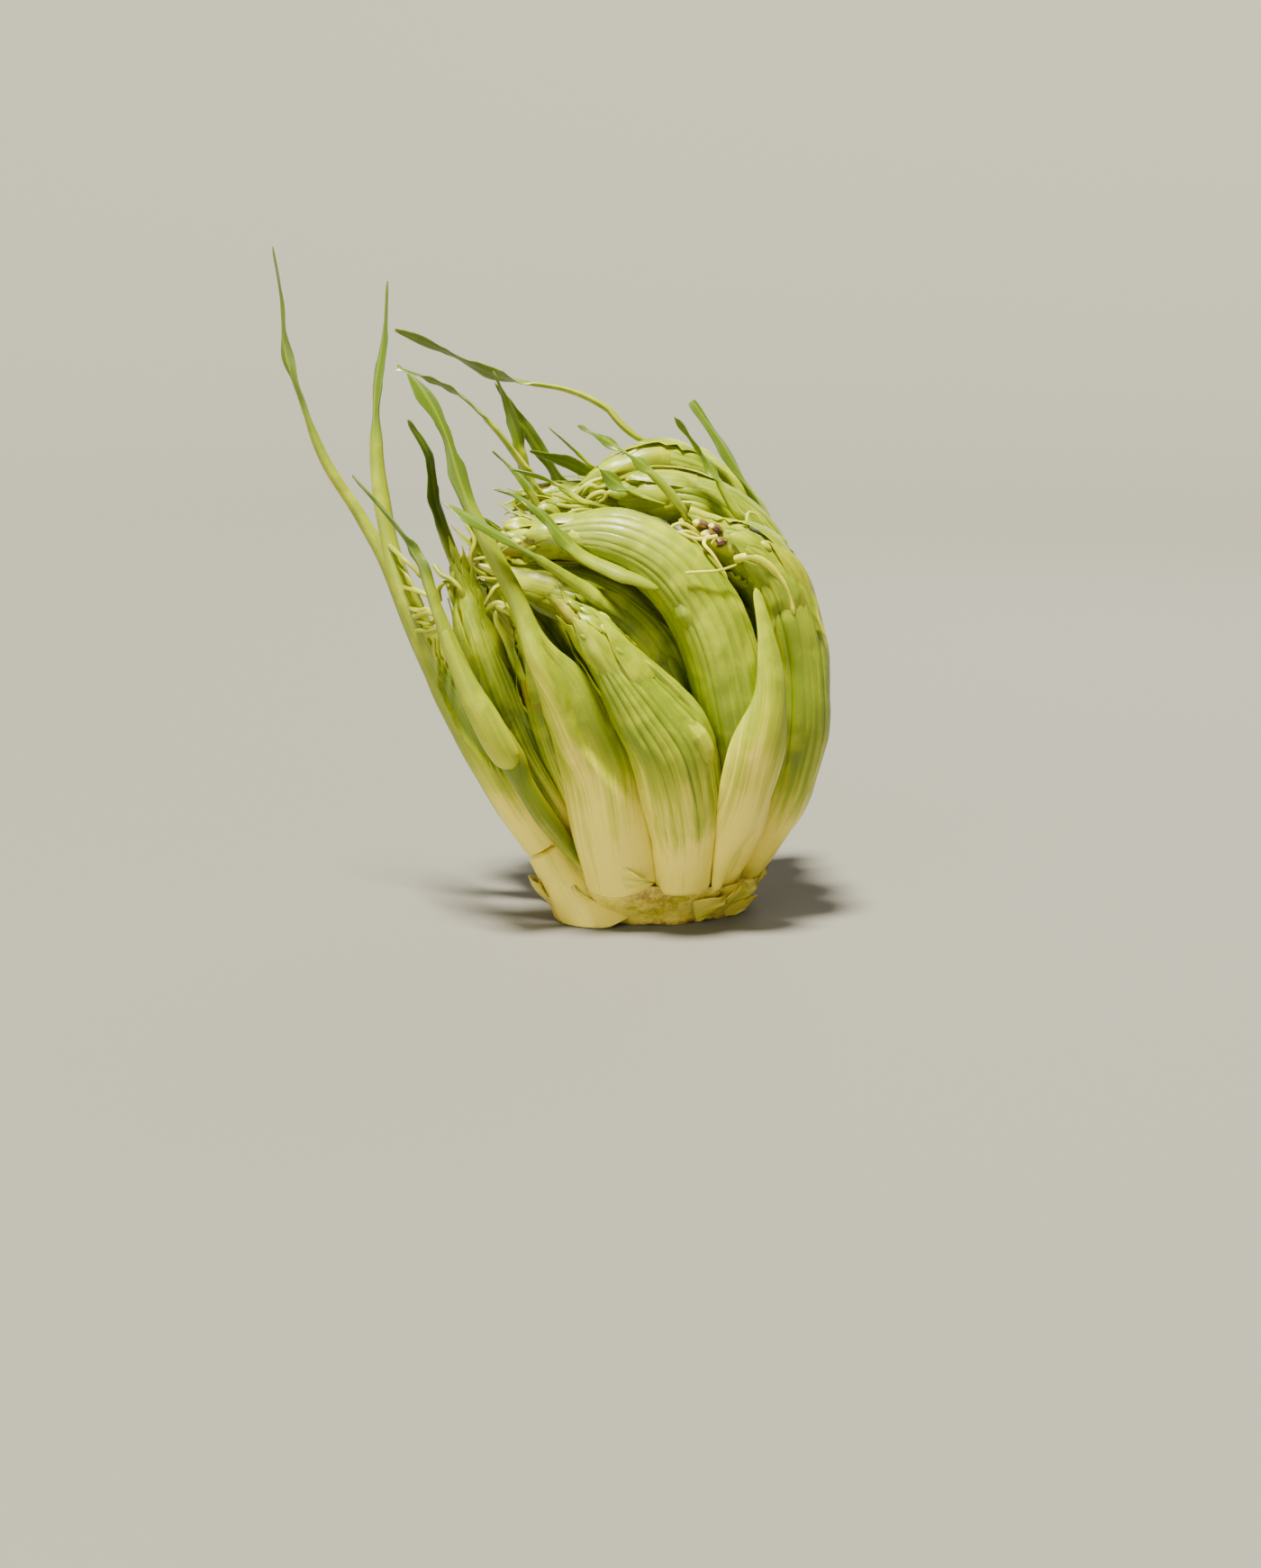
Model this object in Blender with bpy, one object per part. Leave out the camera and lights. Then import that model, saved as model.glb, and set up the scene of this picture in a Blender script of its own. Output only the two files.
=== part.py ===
"""A heart of puntarelle, the young shoots of Catalonia chicory, standing on its cut base.

Metres, +Z up, origin in the middle of the flat cut. The head leans to -X, and every shoot bulges
outwards from the crown and bends over so that its tip points to -X. Lengths in this file are in
millimetres until a mesh is made.
"""

import itertools
import math
import random

import bmesh
import bpy
import numpy as np
from mathutils.bvhtree import BVHTree

MM = 0.001
WELD = 1e-6

# Driving dimensions, in millimetres
CUT_RADIUS = 27.5
CROWN_TOP = 10.7
SEAT_GAP = 0.3
ROOM_GAP = 0.55
BLADE_GAP = 0.9
SKIN_GAP = 0.32
GIVE_WAY = 0.955
PRESS_ROUNDS = 60
BEND_ROUNDS = 30
THINNEST_HALF = 0.4
HEART = (-8.0, 0.0, 55.0)
HUG_RADIUS = 20.0
RIBS = 8
RIB_HEIGHT = 0.05
TOOTH_WIDTH = 1.6
SCALE_THICKNESS = 1.1
SHARP_EDGE = math.radians(40)

BASE = CROWN_TOP + SEAT_GAP
GOLDEN_ANGLE = math.radians(137.5)
FIRST_SEED = 40
FINE_STATIONS = 60

# Each row of a route is x, y, z, half width, half depth
SHOOTS = {
    "shoot_front_spear": [
        (9, -20, BASE, 8.5, 7), (9, -30, 33, 10.5, 8.5), (6, -37, 53, 12, 9), (-3, -39, 70, 10.5, 8.5),
        (-15, -38, 82, 6.5, 6), (-22, -37, 88, 3, 3), (-26, -36.5, 92, 1, 1)],
    "shoot_great_arch": [
        (17, -12, BASE, 7, 7), (23, -24, 36, 9, 9), (21, -29, 61, 9.5, 9.5), (16, -29, 82, 10, 9.5),
        (5, -27, 98, 10, 9), (-10, -25, 105, 8.5, 8), (-26, -23, 105, 5.5, 5), (-38, -22, 103, 1.5, 1.5)],
    "shoot_inner_arch": [
        (4, -7, BASE, 6.5, 6.5), (10, -15, 35, 8.5, 8.5), (7, -19, 57, 9.5, 9), (-2, -22, 77, 9.5, 8.5),
        (-15, -24, 88, 8.5, 7.5), (-28, -24, 92, 6, 5.5), (-39, -23, 95, 1.5, 1.5)],
    "shoot_right": [
        (23, -2, BASE, 7, 7), (34, -12, 34, 9, 9), (38.5, -16, 57, 9.5, 9.5), (37, -16, 78, 9.5, 9.5),
        (32, -16, 93, 9, 9), (23, -18, 102, 7.5, 7), (12, -21, 107, 2.5, 2.5)],
    "shoot_top_arch": [
        (17, 9, BASE, 7, 7), (31, 6, 34, 9, 9), (36, 4, 62, 9.5, 9.5), (33.5, 2, 87, 9, 9),
        (24, 0, 105, 9, 8.5), (12, -1, 113, 8, 7), (-3, -3, 114, 6, 6), (-16, -6, 112, 2, 2)],
    "shoot_crest": [
        (9, 19, BASE, 7, 7), (26, 23, 36, 9, 9), (32, 23, 69, 9.5, 9.5), (27.5, 20, 98, 9, 9),
        (17, 16, 115, 8, 7.5), (3, 13, 122, 6.5, 6), (-9, 9, 119, 4.5, 4.5), (-19, 7, 114, 1.5, 1.5)],
    "shoot_middle": [
        (5, 1, BASE, 6.5, 6.5), (4, -1, 40, 9, 9), (2, -2, 72, 9, 9), (-6, -6, 93, 8, 8),
        (-20, -9, 102, 6, 5.5), (-35, -11, 107, 2, 2)],
    "shoot_left_spear": [
        (-14, -10, BASE, 6, 6), (-23, -20, 31, 6.5, 6.5), (-33, -25, 49, 6.5, 6.5),
        (-41, -27, 68, 6.5, 6), (-46, -27, 82, 5, 4.5), (-49, -25, 93, 2.2, 2.2), (-50, -25, 99, 0.8, 0.8)],
    "shoot_bud": [
        (-7, -15, BASE, 5, 5), (-20, -25, 37, 4.5, 4.5), (-28, -32, 59, 4.2, 4), (-31, -34, 75, 3.8, 3.6),
        (-33, -34, 83, 1.5, 1.5)],
    "shoot_left_inner": [
        (-11, 1, BASE, 6, 6), (-20, 2, 36, 8.5, 8.5), (-27, 3, 60, 9.5, 9.5), (-34, 3, 80, 8.5, 8),
        (-41, 0, 93, 6, 6), (-47, -4, 102, 1.5, 1.5)],
    "shoot_left_back": [
        (-21, 4, BASE, 6.5, 6.5), (-34, 14, 34, 8.5, 8), (-41, 18, 54, 9, 8.5), (-46, 18, 70, 8, 7.5),
        (-49, 15, 82, 5.5, 5), (-51, 12, 91, 1.5, 1.5)],
    "shoot_back_spear": [
        (-14, 14, BASE, 7, 7), (-18, 32, 36, 10, 9), (-20, 40, 58, 11, 9.5), (-26, 40, 78, 9.5, 8.5),
        (-34, 35, 91, 6, 6), (-41, 31, 99, 1.5, 1.5)],
    "shoot_back_arch": [
        (-1, 20, BASE, 7, 7), (6, 36, 36, 9.5, 9), (10, 42, 60, 10, 9.5), (6, 41, 84, 10, 9),
        (-6, 34, 103, 9, 8), (-22, 26, 110, 6.5, 6), (-37, 20, 111, 1.5, 1.5)],
    "shoot_back_inner": [
        (5, 10, BASE, 6, 6), (11, 18, 40, 8, 8), (13, 20, 65, 9, 9), (9, 20, 88, 8.5, 8.5),
        (-4, 17, 103, 7, 6.5), (-20, 12, 109, 4, 4), (-31, 9, 111, 1.2, 1.2)],
    "shoot_heart": [
        (-4, 12, BASE, 5.5, 5.5), (-6, 20, 38, 8, 8), (-9, 22, 62, 9, 9), (-14, 21, 85, 8, 8),
        (-24, 17, 98, 5.5, 5.5), (-34, 14, 105, 1.5, 1.5)],
}

# A leaf is a broad sheath at the crown, then a thin stalk, then a narrow toothed blade
LEAVES = {
    "leaf_front_stalk": [
        (-11, -25.5, BASE, 9.5, 3.2), (-12, -32, 25, 10.5, 3.5), (-14.5, -37, 46, 10.2, 3.6),
        (-19, -40.5, 58, 8, 3.4), (-24.5, -42, 68, 5.4, 3.2), (-30.3, -42, 81, 3.3, 2.7),
        (-35.8, -41, 94, 2.3, 2), (-42, -40, 106, 2, 1.8), (-48, -38, 119, 1.6, 1.4), (-53, -36, 134, 1.6, 0.9),
        (-58, -34, 143, 2, 0.7), (-62, -33, 148, 0.6, 0.5)],
    "leaf_pale_sheath": [
        (19, -25, BASE, 6, 2.2), (24, -33, 33, 8.5, 2.6), (28, -37, 50, 8.5, 2.4), (31, -36, 66, 4.8, 2.2),
        (30, -34, 80, 2.9, 1.8), (27, -31, 93, 1, 0.8)],
    "leaf_right": [
        (28, 9, BASE, 6, 4), (40, 4, 35, 5, 3.8), (44.5, 2, 55, 3.6, 3.2), (43.5, 1, 77, 3, 2.8),
        (37, 2, 97, 2.2, 2), (28.5, 4, 112, 1.7, 1.4), (18.5, 6, 128, 1.5, 0.8), (11, 8, 139, 0.6, 0.5)],
    "leaf_left_stalk": [
        (-29.1, -17.2, 20.8, 5.5, 3.9), (-38.5, -19.5, 37, 6.5, 3.6), (-48.5, -21, 57, 6.2, 3.2),
        (-57.5, -19, 76, 5, 3), (-65, -16, 92, 3.6, 2.6), (-70, -12, 107, 2.6, 2.2), (-73, -8, 125, 2.4, 1.6),
        (-73, -4, 142, 2, 1.1), (-71, -1, 156, 1.8, 0.7), (-70, 1, 171, 0.6, 0.5)],
    "leaf_left_outer": [
        (-27, 6, BASE, 6, 3.5), (-47, 2, 42, 6, 3), (-62, 0, 72, 4, 2.6), (-72, 2, 96, 2.6, 2),
        (-79, 4, 108, 2.2, 1.6), (-89, 6, 124, 1.7, 1.2), (-95, 8, 140, 1.4, 0.9), (-99, 10, 154, 1.3, 0.7),
        (-100, 12, 167, 1.3, 0.6), (-102, 13, 180, 0.6, 0.5)],
    "leaf_left_fold": [
        (-14, -19.5, BASE, 3.5, 2.2), (-21, -25, 21, 4, 2.3), (-29, -31, 33, 4.2, 2.5),
        (-37.5, -35.5, 49, 4.4, 2.6), (-42.5, -37, 58, 3.8, 2.6), (-49, -37, 71, 3, 2.4),
        (-55, -36, 87, 2.2, 1.8), (-60, -34, 101, 1.7, 1.4), (-68, -32, 112, 1.5, 0.9),
        (-77, -30, 122, 0.6, 0.5)],
    "leaf_back_right": [
        (15, 25.5, BASE, 6, 2.5), (30, 38, 36, 7, 2.5), (37, 42, 56, 5, 2.4), (38, 41, 76, 3, 2),
        (33, 38, 94, 2, 1.5), (26, 34, 108, 1.7, 1), (17, 32, 119, 1.5, 0.6), (9, 31, 125, 0.6, 0.5)],
    "leaf_back": [
        (-6, 27.5, BASE, 7, 2.4), (-6, 44, 34, 8, 2.6), (-6, 50, 52, 5.5, 2.4), (-8, 51, 72, 3, 2.2),
        (-16, 48, 96, 2.2, 1.6), (-28, 43, 118, 1.8, 1.1), (-38, 39, 134, 1.8, 0.6), (-44, 36, 143, 0.6, 0.5)],
    "leaf_back_left": [
        (-21, 18, BASE, 6, 2.4), (-34, 33, 36, 7, 2.6), (-41, 37, 55, 4.5, 2.4), (-48, 34, 76, 2.8, 2),
        (-56, 25, 96, 2, 1.6), (-60, 17, 112, 1.7, 1), (-61, 12, 124, 1.4, 0.7), (-66, 9, 134, 0.6, 0.5)],
}

# Outward direction of the broad side, where it isn't simply away from the heart of the head
FACING = {
    "leaf_front_stalk": (-0.2, -1, 0),
    "leaf_left_stalk": (-0.55, -0.85, 0),
    "leaf_left_outer": (-0.8, -0.6, 0),
    "leaf_left_fold": (-0.35, -0.95, 0),
    "leaf_pale_sheath": (0.45, -0.9, 0),
}

# The left stalk is cracked across, and its lower end is a stub on the crown
CRACKED_LEAF = "leaf_left_stalk"
STUB_UNDER_CRACK = [
    (-22, -14.5, 6.5, 9, 3.6), (-25.4, -15.8, 13, 7.2, 4), (-28.9, -17.1, 20.4, 5.5, 3.9)]

# Small leaves that grow from a shoot: parent, then rows as above
STEM_LEAVES = {
    "along_inner_arch": ("shoot_inner_arch", [
        (-4, -28.5, 82, 2.4, 1.3), (-10, -32, 87.5, 2.5, 1.4), (-15.5, -34.5, 92, 2.2, 1.3),
        (-21, -37, 96, 1.8, 1.2), (-27, -40, 100.5, 1.5, 1.1), (-34, -43.5, 105, 1.4, 1),
        (-41.5, -45.5, 109.5, 1.4, 0.8), (-47, -45, 113, 1.9, 0.7), (-53, -44, 116.5, 0.6, 0.5)]),
    "along_great_arch": ("shoot_great_arch", [
        (6, -33.5, 93.5, 2.6, 1.2), (-2, -34, 96, 2.4, 1.3), (-11.5, -34, 98.5, 2.2, 1.2),
        (-19, -33, 102, 1.9, 1.1), (-24, -32.5, 107, 1.6, 1), (-29, -32, 112.5, 1.3, 0.8),
        (-35, -31, 117, 1.1, 0.7), (-41, -30, 118.5, 0.6, 0.5)]),
    "great_arch_feather": ("shoot_great_arch", [
        (-10, -22, 109, 1.6, 0.9), (-19, -21, 115, 1.4, 0.8), (-27, -21, 120, 1.2, 0.6),
        (-37, -20, 123, 0.6, 0.5)]),
    "bent_top_leaf": ("shoot_right", [
        (15, -20, 105, 1.8, 1.4), (9, -24.5, 111.5, 1.7, 1.3), (4, -26, 118, 1.6, 1.1), (-2, -27, 124, 1.5, 0.9),
        (-9, -26.5, 129, 1.4, 0.7), (-19, -25, 134.5, 0.7, 0.5)]),
    "steep_top_leaf": ("shoot_right", [
        (27.5, -14, 98, 1.6, 1.6), (24.5, -13, 106.5, 1.6, 1.4), (21.5, -13, 112.5, 1.5, 1.2),
        (17.5, -12, 119.5, 1.3, 1), (11.5, -11, 128.5, 1.1, 0.7), (6, -10, 136, 0.6, 0.5)]),
    "top_arch_leaf": ("shoot_top_arch", [
        (5, -8, 112.5, 1.4, 0.9), (-3, -10.5, 115, 1.3, 0.9), (-9, -11.5, 118, 1.1, 0.8),
        (-14.5, -12, 123, 0.6, 0.5)]),
    "long_back_leaf": ("shoot_crest", [
        (4, 13, 124, 2, 1.2), (-3, 14, 130, 1.8, 1.1), (-12, 16, 137, 1.8, 1), (-23, 17, 142, 1.9, 0.8),
        (-38, 18, 144, 2, 0.7), (-48, 18, 148, 2, 0.6), (-58, 18, 153, 1.6, 0.6), (-70, 18, 158, 0.6, 0.5)]),
    "crest_short_leaf": ("shoot_crest", [
        (-12, 9, 117, 1.5, 1), (-19, 10, 124, 1.5, 0.8), (-28, 10, 132, 0.6, 0.5)]),
    "tall_inner_leaf": ("shoot_back_inner", [
        (-24, 11, 109, 1.6, 1), (-33, 10, 119, 1.6, 0.9), (-42, 10, 131, 1.7, 0.8), (-54, 11, 142, 1.7, 0.6),
        (-69, 10, 148, 0.6, 0.5)]),
    "upright_inner_leaf": ("shoot_heart", [
        (-29, 15, 101, 1.6, 1), (-33, 15, 112, 1.6, 0.9), (-36, 14, 126, 1.7, 0.7), (-40, 13, 140, 1, 0.6),
        (-43, 12, 147, 0.6, 0.5)]),
    "middle_leaf": ("shoot_middle", [
        (-22, -9.5, 103, 1.4, 1), (-28, -10.5, 109, 1.3, 0.8), (-34, -11.5, 119, 1.1, 0.7),
        (-42, -12, 127, 0.6, 0.5)]),
    "back_arch_leaf": ("shoot_back_arch", [
        (2, 40, 100, 3, 1.2), (-8, 42, 110, 2.2, 1.1), (-20, 38, 119, 1.7, 0.8), (-34, 32, 124, 0.6, 0.5)]),
    "back_spear_leaf": ("shoot_back_spear", [
        (-26, 46, 78, 3, 1.2), (-34, 46, 90, 2.2, 1.1), (-43, 41, 100, 1.7, 0.8), (-50, 37, 105, 0.6, 0.5)]),
}

# Sides and rings of the lofted bodies
SHOOT_SIDES, SHOOT_RINGS = 16, 11
LEAF_SIDES, LEAF_STALK_RINGS = 8, 9
STEM_LEAF_SIDES, STEM_LEAF_STALK_RINGS = 6, 4
SCALE_SIDES, SCALE_RINGS, SCALES_A_SHOOT = 4, 4, 6
STUB_SIDES, STUB_RINGS = 8, 5
CROWN_SIDES = 36
TEETH = 3

# Share of its length at which the toothed blade of a leaf starts
LEAF_BLADE_START = 0.72
STEM_LEAF_BLADE_START = 0.5

# The flank of the crown: height, share of the way out to the feet, and how far the edge is rounded in
CROWN_FLANK = [(0, 0, 0.9), (0.9, 0.05, 0), (4, 0.4, 0), (7.5, 0.8, 0), (9.8, 1, 0), (CROWN_TOP, 1, 0.6)]

# Torn ends of outer leaves round the crown: bearing in degrees, height of the tip, half width, lean outwards
TORN_ENDS = [
    (-112, 8.5, 5.5, 0.2), (-72, 8, 6, 0.5), (-40, 12, 6.5, 1.0), (-6, 14, 6.5, 1.0), (30, 11, 6, 0.8),
    (66, 13, 6.5, 1.0), (102, 12, 6, 0.8), (136, 13, 6.5, 1.0), (170, 15, 6, 1.0)]

COLOURS = {
    "shoot": (0.52, 0.62, 0.12, 1.0),
    "leaf": (0.55, 0.62, 0.24, 1.0),
    "crown": (0.80, 0.76, 0.52, 1.0),
}


def unit(vectors):
    """Each row of an array made one long."""
    return vectors / np.maximum(np.linalg.norm(vectors, axis=-1, keepdims=True), 1e-9)


def smooth_rows(rows, count):
    """A smooth curve through the rows, as evenly spaced rows."""
    rows = np.array(rows, float)
    chords = np.linalg.norm(np.diff(rows[:, :3], axis=0), axis=1)
    knots = np.concatenate([[0], np.cumsum(np.sqrt(chords))])
    slopes = np.gradient(rows, knots, axis=0)
    at = np.linspace(0, knots[-1], 6 * FINE_STATIONS)
    i = np.clip(np.searchsorted(knots, at, side="right") - 1, 0, len(rows) - 2)
    h = (knots[i + 1] - knots[i])[:, None]
    s = (at - knots[i])[:, None] / h
    curve = (
        (2 * s**3 - 3 * s**2 + 1) * rows[i] + (s**3 - 2 * s**2 + s) * h * slopes[i]
        + (3 * s**2 - 2 * s**3) * rows[i + 1] + (s**3 - s**2) * h * slopes[i + 1])
    run = np.concatenate([[0], np.cumsum(np.linalg.norm(np.diff(curve[:, :3], axis=0), axis=1))])
    even = np.linspace(0, run[-1], count)
    return np.stack([np.interp(even, run, column) for column in curve.T], axis=1)


class Stalk:
    """A stem or leaf: a line with an oval section that changes along it."""

    def __init__(self, rows, facing=None, hug=False, ribs=0):
        self.facing = facing
        self.hug = hug
        self.ribs = ribs
        self.set_rows(smooth_rows(rows, FINE_STATIONS))

    def set_rows(self, fine):
        self.line = fine[:, :3]
        self.wide = np.maximum(fine[:, 3], THINNEST_HALF)
        self.deep = np.maximum(fine[:, 4], THINNEST_HALF)
        self.length = np.linalg.norm(np.diff(self.line, axis=0), axis=1).sum()
        self.along = unit(np.gradient(self.line, axis=0))
        away = self.line - HEART if self.facing is None else np.tile(self.facing, (len(self.line), 1))
        away = away - (away * self.along).sum(1)[:, None] * self.along
        self.out = unit(away)
        self.across = np.cross(self.along, self.out)
        self.cup = self.wide**2 / (2 * HUG_RADIUS) if self.hug else 0 * self.wide

    def at(self, t):
        """Line point, along, out, across, half width, half depth and cup at shares t of the length."""
        where = np.clip(np.asarray(t, float), 0, 1) * (FINE_STATIONS - 1)
        i = np.minimum(where.astype(int), FINE_STATIONS - 2)
        f = where - i

        def between(values):
            share = f if values.ndim == 1 else f[..., None]
            return values[i] * (1 - share) + values[i + 1] * share

        return [between(values) for values in (
            self.line, self.along, self.out, self.across, self.wide, self.deep, self.cup)]

    def surface(self, t, angle, share=1.0, lift=0.0, widen=1.0):
        """Points at shares t of the length and angles round the section; angle 90 degrees faces out."""
        t, angle = np.broadcast_arrays(np.asarray(t, float), np.asarray(angle, float))
        line, along, out, across, wide, deep, cup = self.at(t)
        fade = np.clip(6 * t, 0, 1) * np.clip(4 * (1 - t), 0, 1)
        swell = (1 + RIB_HEIGHT * fade * np.cos(self.ribs * angle)) if self.ribs else 1.0
        side = wide * np.cos(angle) * swell * share * widen + lift * np.cos(angle)
        front = deep * np.sin(angle) * swell * share + lift * np.sin(angle)
        front = front - cup * (np.cos(angle) * share) ** 2
        beyond = np.maximum(t - 1, 0) * self.length
        return line + across * side[..., None] + out * front[..., None] + along * beyond[..., None]

    def clearance(self, points):
        """Rough distance of points outside this stalk's skin, negative inside, and the way out."""
        points = np.asarray(points, float)
        offsets = points[:, None, :] - self.line[None, :, :]
        nearest = np.argmin((offsets**2).sum(2), axis=1)
        offset = offsets[np.arange(len(points)), nearest]
        side = (offset * self.across[nearest]).sum(1)
        front = (offset * self.out[nearest]).sum(1)
        ahead = (offset * self.along[nearest]).sum(1)
        front = front + self.cup[nearest] * np.minimum((side / self.wide[nearest]) ** 2, 1.5)
        radial = np.hypot(side, front)
        reach = np.hypot(side / self.wide[nearest], front / self.deep[nearest])
        skin = radial * (1 - 1 / np.maximum(reach, 1e-6))
        skin = np.where(reach < 1e-6, -self.deep[nearest], skin)
        past_end = np.abs(ahead) > self.length / FINE_STATIONS
        skin = np.where(past_end, np.hypot(np.maximum(skin, 0), ahead), skin)
        way_out = unit(side[:, None] * self.across[nearest] + front[:, None] * self.out[nearest])
        return skin, way_out

    def near(self, other, margin=3.0):
        low = self.line.min(0) - self.wide.max() - margin
        high = self.line.max(0) + self.wide.max() + margin
        return bool((other.line.min(0) - other.wide.max() < high).all() and
                    (other.line.max(0) + other.wide.max() > low).all())


def shares_of_room(stalk, t, angle, neighbours):
    """How much of its radius each surface point keeps, so that pressed neighbours share the room."""
    shape = t.shape
    low, high = np.full(shape, 0.12), np.ones(shape)
    line, _, _, _, wide, deep, _ = stalk.at(t)
    radius = np.hypot(wide * np.cos(angle), deep * np.sin(angle))
    for _ in range(10):
        middle = (low + high) / 2
        points = stalk.surface(t, angle, middle).reshape(-1, 3)
        room = np.full(len(points), np.inf)
        for other in neighbours:
            room = np.minimum(room, other.clearance(points)[0])
        fits = ((middle - 1) * radius + ROOM_GAP <= room.reshape(shape))
        low, high = np.where(fits, middle, low), np.where(fits, high, middle)
    return np.where(high > 0.999, 1.0, low)


def bend_clear(stalk, others, own, rooted=4):
    """Moves a thin stalk's line off the skins that it would cross; its first stations stay rooted."""
    free = np.clip((np.arange(FINE_STATIONS) - rooted) / 6, 0, 1)[:, None]
    for _ in range(BEND_ROUNDS):
        line = stalk.line.copy()
        for other in others:
            if not stalk.near(other):
                continue
            skin, way_out = other.clearance(line)
            push = np.maximum(BLADE_GAP + np.minimum(stalk.deep * 1.2, stalk.wide) - skin, 0)
            line = line + way_out * push[:, None] * free * (0.4 if other is own else 0.6)
        line[1:-1] = line[1:-1] * 0.7 + (line[:-2] + line[2:]) * 0.15
        stalk.set_rows(np.column_stack([line, stalk.wide, stalk.deep]))


def split_quad(before, after, j):
    """The corners of the cut across quad j between two rings: alike on the front and the back.

    So the two faces of a thin blade stay apart.
    """
    sides = len(before)
    k = (j + 1) % sides
    return (before[j], after[k]) if j < sides // 2 else (before[k], after[j])


class Skin:
    """The rings of one body, with the centre that each ring can shrink towards."""

    def __init__(self, name, rings, centres, fixed=False):
        self.name = name
        self.rings = rings
        self.centres = centres
        self.fixed = fixed
        count, sides = rings.shape[:2]
        index = np.arange(count * sides).reshape(count, sides)
        self.corners = []
        for before, after in zip(index[:-1], index[1:]):
            for j in range(sides):
                k = (j + 1) % sides
                low, high = split_quad(before, after, j)
                for third in (before[j], before[k], after[k], after[j]):
                    if third not in (low, high):
                        self.corners.append((low, high, third))
        for end in (index[0], index[-1]):
            self.corners += [(end[0], end[j], end[j + 1]) for j in range(1, sides - 1)]

    def tree(self):
        """The skin, half a gap proud all round, to be tested against others."""
        spokes = self.rings - self.centres[:, None, :]
        proud = self.rings + unit(spokes) * SKIN_GAP / 2
        return BVHTree.FromPolygons(proud.reshape(-1, 3).tolist(), self.corners, all_triangles=True)

    def give_way(self, faces):
        """Shrinks the rings a little at the faces named, and half as much beside them."""
        if self.fixed:
            return
        count, sides = self.rings.shape[:2]
        share = np.zeros(count * sides)
        share[[corner for f in faces for corner in self.corners[f]]] = 1
        share = share.reshape(count, sides)
        beside = np.maximum(np.roll(share, 1, 1), np.roll(share, -1, 1)) / 2
        beside[1:] = np.maximum(beside[1:], share[:-1] / 2)
        beside[:-1] = np.maximum(beside[:-1], share[1:] / 2)
        keep = GIVE_WAY ** np.maximum(share, beside)
        self.rings = self.centres[:, None, :] + (self.rings - self.centres[:, None, :]) * keep[..., None]


def press_apart(skins):
    """Where two skins come closer than the gap, both give way a little, and again until none do."""
    for _ in range(PRESS_ROUNDS):
        trees = [skin.tree() for skin in skins]
        faces = [set() for _ in skins]
        touching = []
        for a, b in itertools.combinations(range(len(skins)), 2):
            hits = trees[a].overlap(trees[b])
            if not hits or skins[a].fixed and skins[b].fixed:
                continue
            faces[a].update(i for i, _ in hits)
            faces[b].update(j for _, j in hits)
            touching.append(skins[a].name + " and " + skins[b].name)
        if not touching:
            return
        for skin, touched in zip(skins, faces):
            if touched:
                skin.give_way(touched)
    raise ValueError("still touching: " + ", ".join(touching))


def loft(name, rings):
    """A closed body: the face of the first ring is extruded from ring to ring."""
    bm = bmesh.new()
    face = bm.faces.new([bm.verts.new(p * MM) for p in rings[0]])
    foot = before = list(face.verts)
    for ring in rings[1:]:
        face = bmesh.ops.extrude_discrete_faces(bm, faces=[face])["faces"][0]
        after = list(face.verts)
        for vertex, p in zip(after, ring):
            vertex.co = p * MM
        for j in range(len(ring)):
            low, high = split_quad(before, after, j)
            quad = next(f for f in low.link_faces if high in f.verts and f is not face)
            bmesh.utils.face_split(quad, low, high)
        before = after
    bm.faces.new(reversed(foot))
    bmesh.ops.recalc_face_normals(bm, faces=bm.faces)
    mesh = bpy.data.meshes.new(name)
    bm.to_mesh(mesh)
    bm.free()
    if mesh.validate():
        raise ValueError(name + " has faces that can't be")
    mesh.shade_smooth()
    mesh.set_sharp_from_angle(angle=SHARP_EDGE)
    made = bpy.data.objects.new(name, mesh)
    bpy.context.scene.collection.objects.link(made)
    return made


def leaf_stations(stalk_rings, blade_start):
    """Shares of a leaf's length, and how much wider it is at each: the blade's teeth point to its tip."""
    shares = list(np.linspace(0, blade_start, stalk_rings))
    widths = [1.0] * stalk_rings
    for tooth in range(TEETH):
        for part_of_tooth, width in ((0.62, TOOTH_WIDTH), (0.98, 1.0)):
            shares.append(blade_start + (1 - blade_start) * (tooth + part_of_tooth) / TEETH)
            widths.append(width)
    shares[-1], widths[-1] = 1.0, 1.0
    return np.array(shares), np.array(widths)


def ring_angles(sides):
    return np.arange(sides) * 2 * math.pi / sides


def rings_of(stalk, sides, shares, neighbours=(), widths=None):
    """Rings of points along a stalk, pressed in where neighbours need the room."""
    t, angle = np.meshgrid(shares, ring_angles(sides), indexing="ij")
    keep = shares_of_room(stalk, t, angle, neighbours) if neighbours else 1.0
    widen = np.ones_like(t) if widths is None else np.repeat(widths[:, None], sides, axis=1)
    return stalk.surface(t, angle, keep, widen=widen)


def seat(rings):
    """The foot stands level on the crown, and nothing dips below it."""
    rings[:, :, 2] = np.maximum(rings[:, :, 2], BASE)
    rings[0, :, 2] = BASE
    return rings


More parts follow.
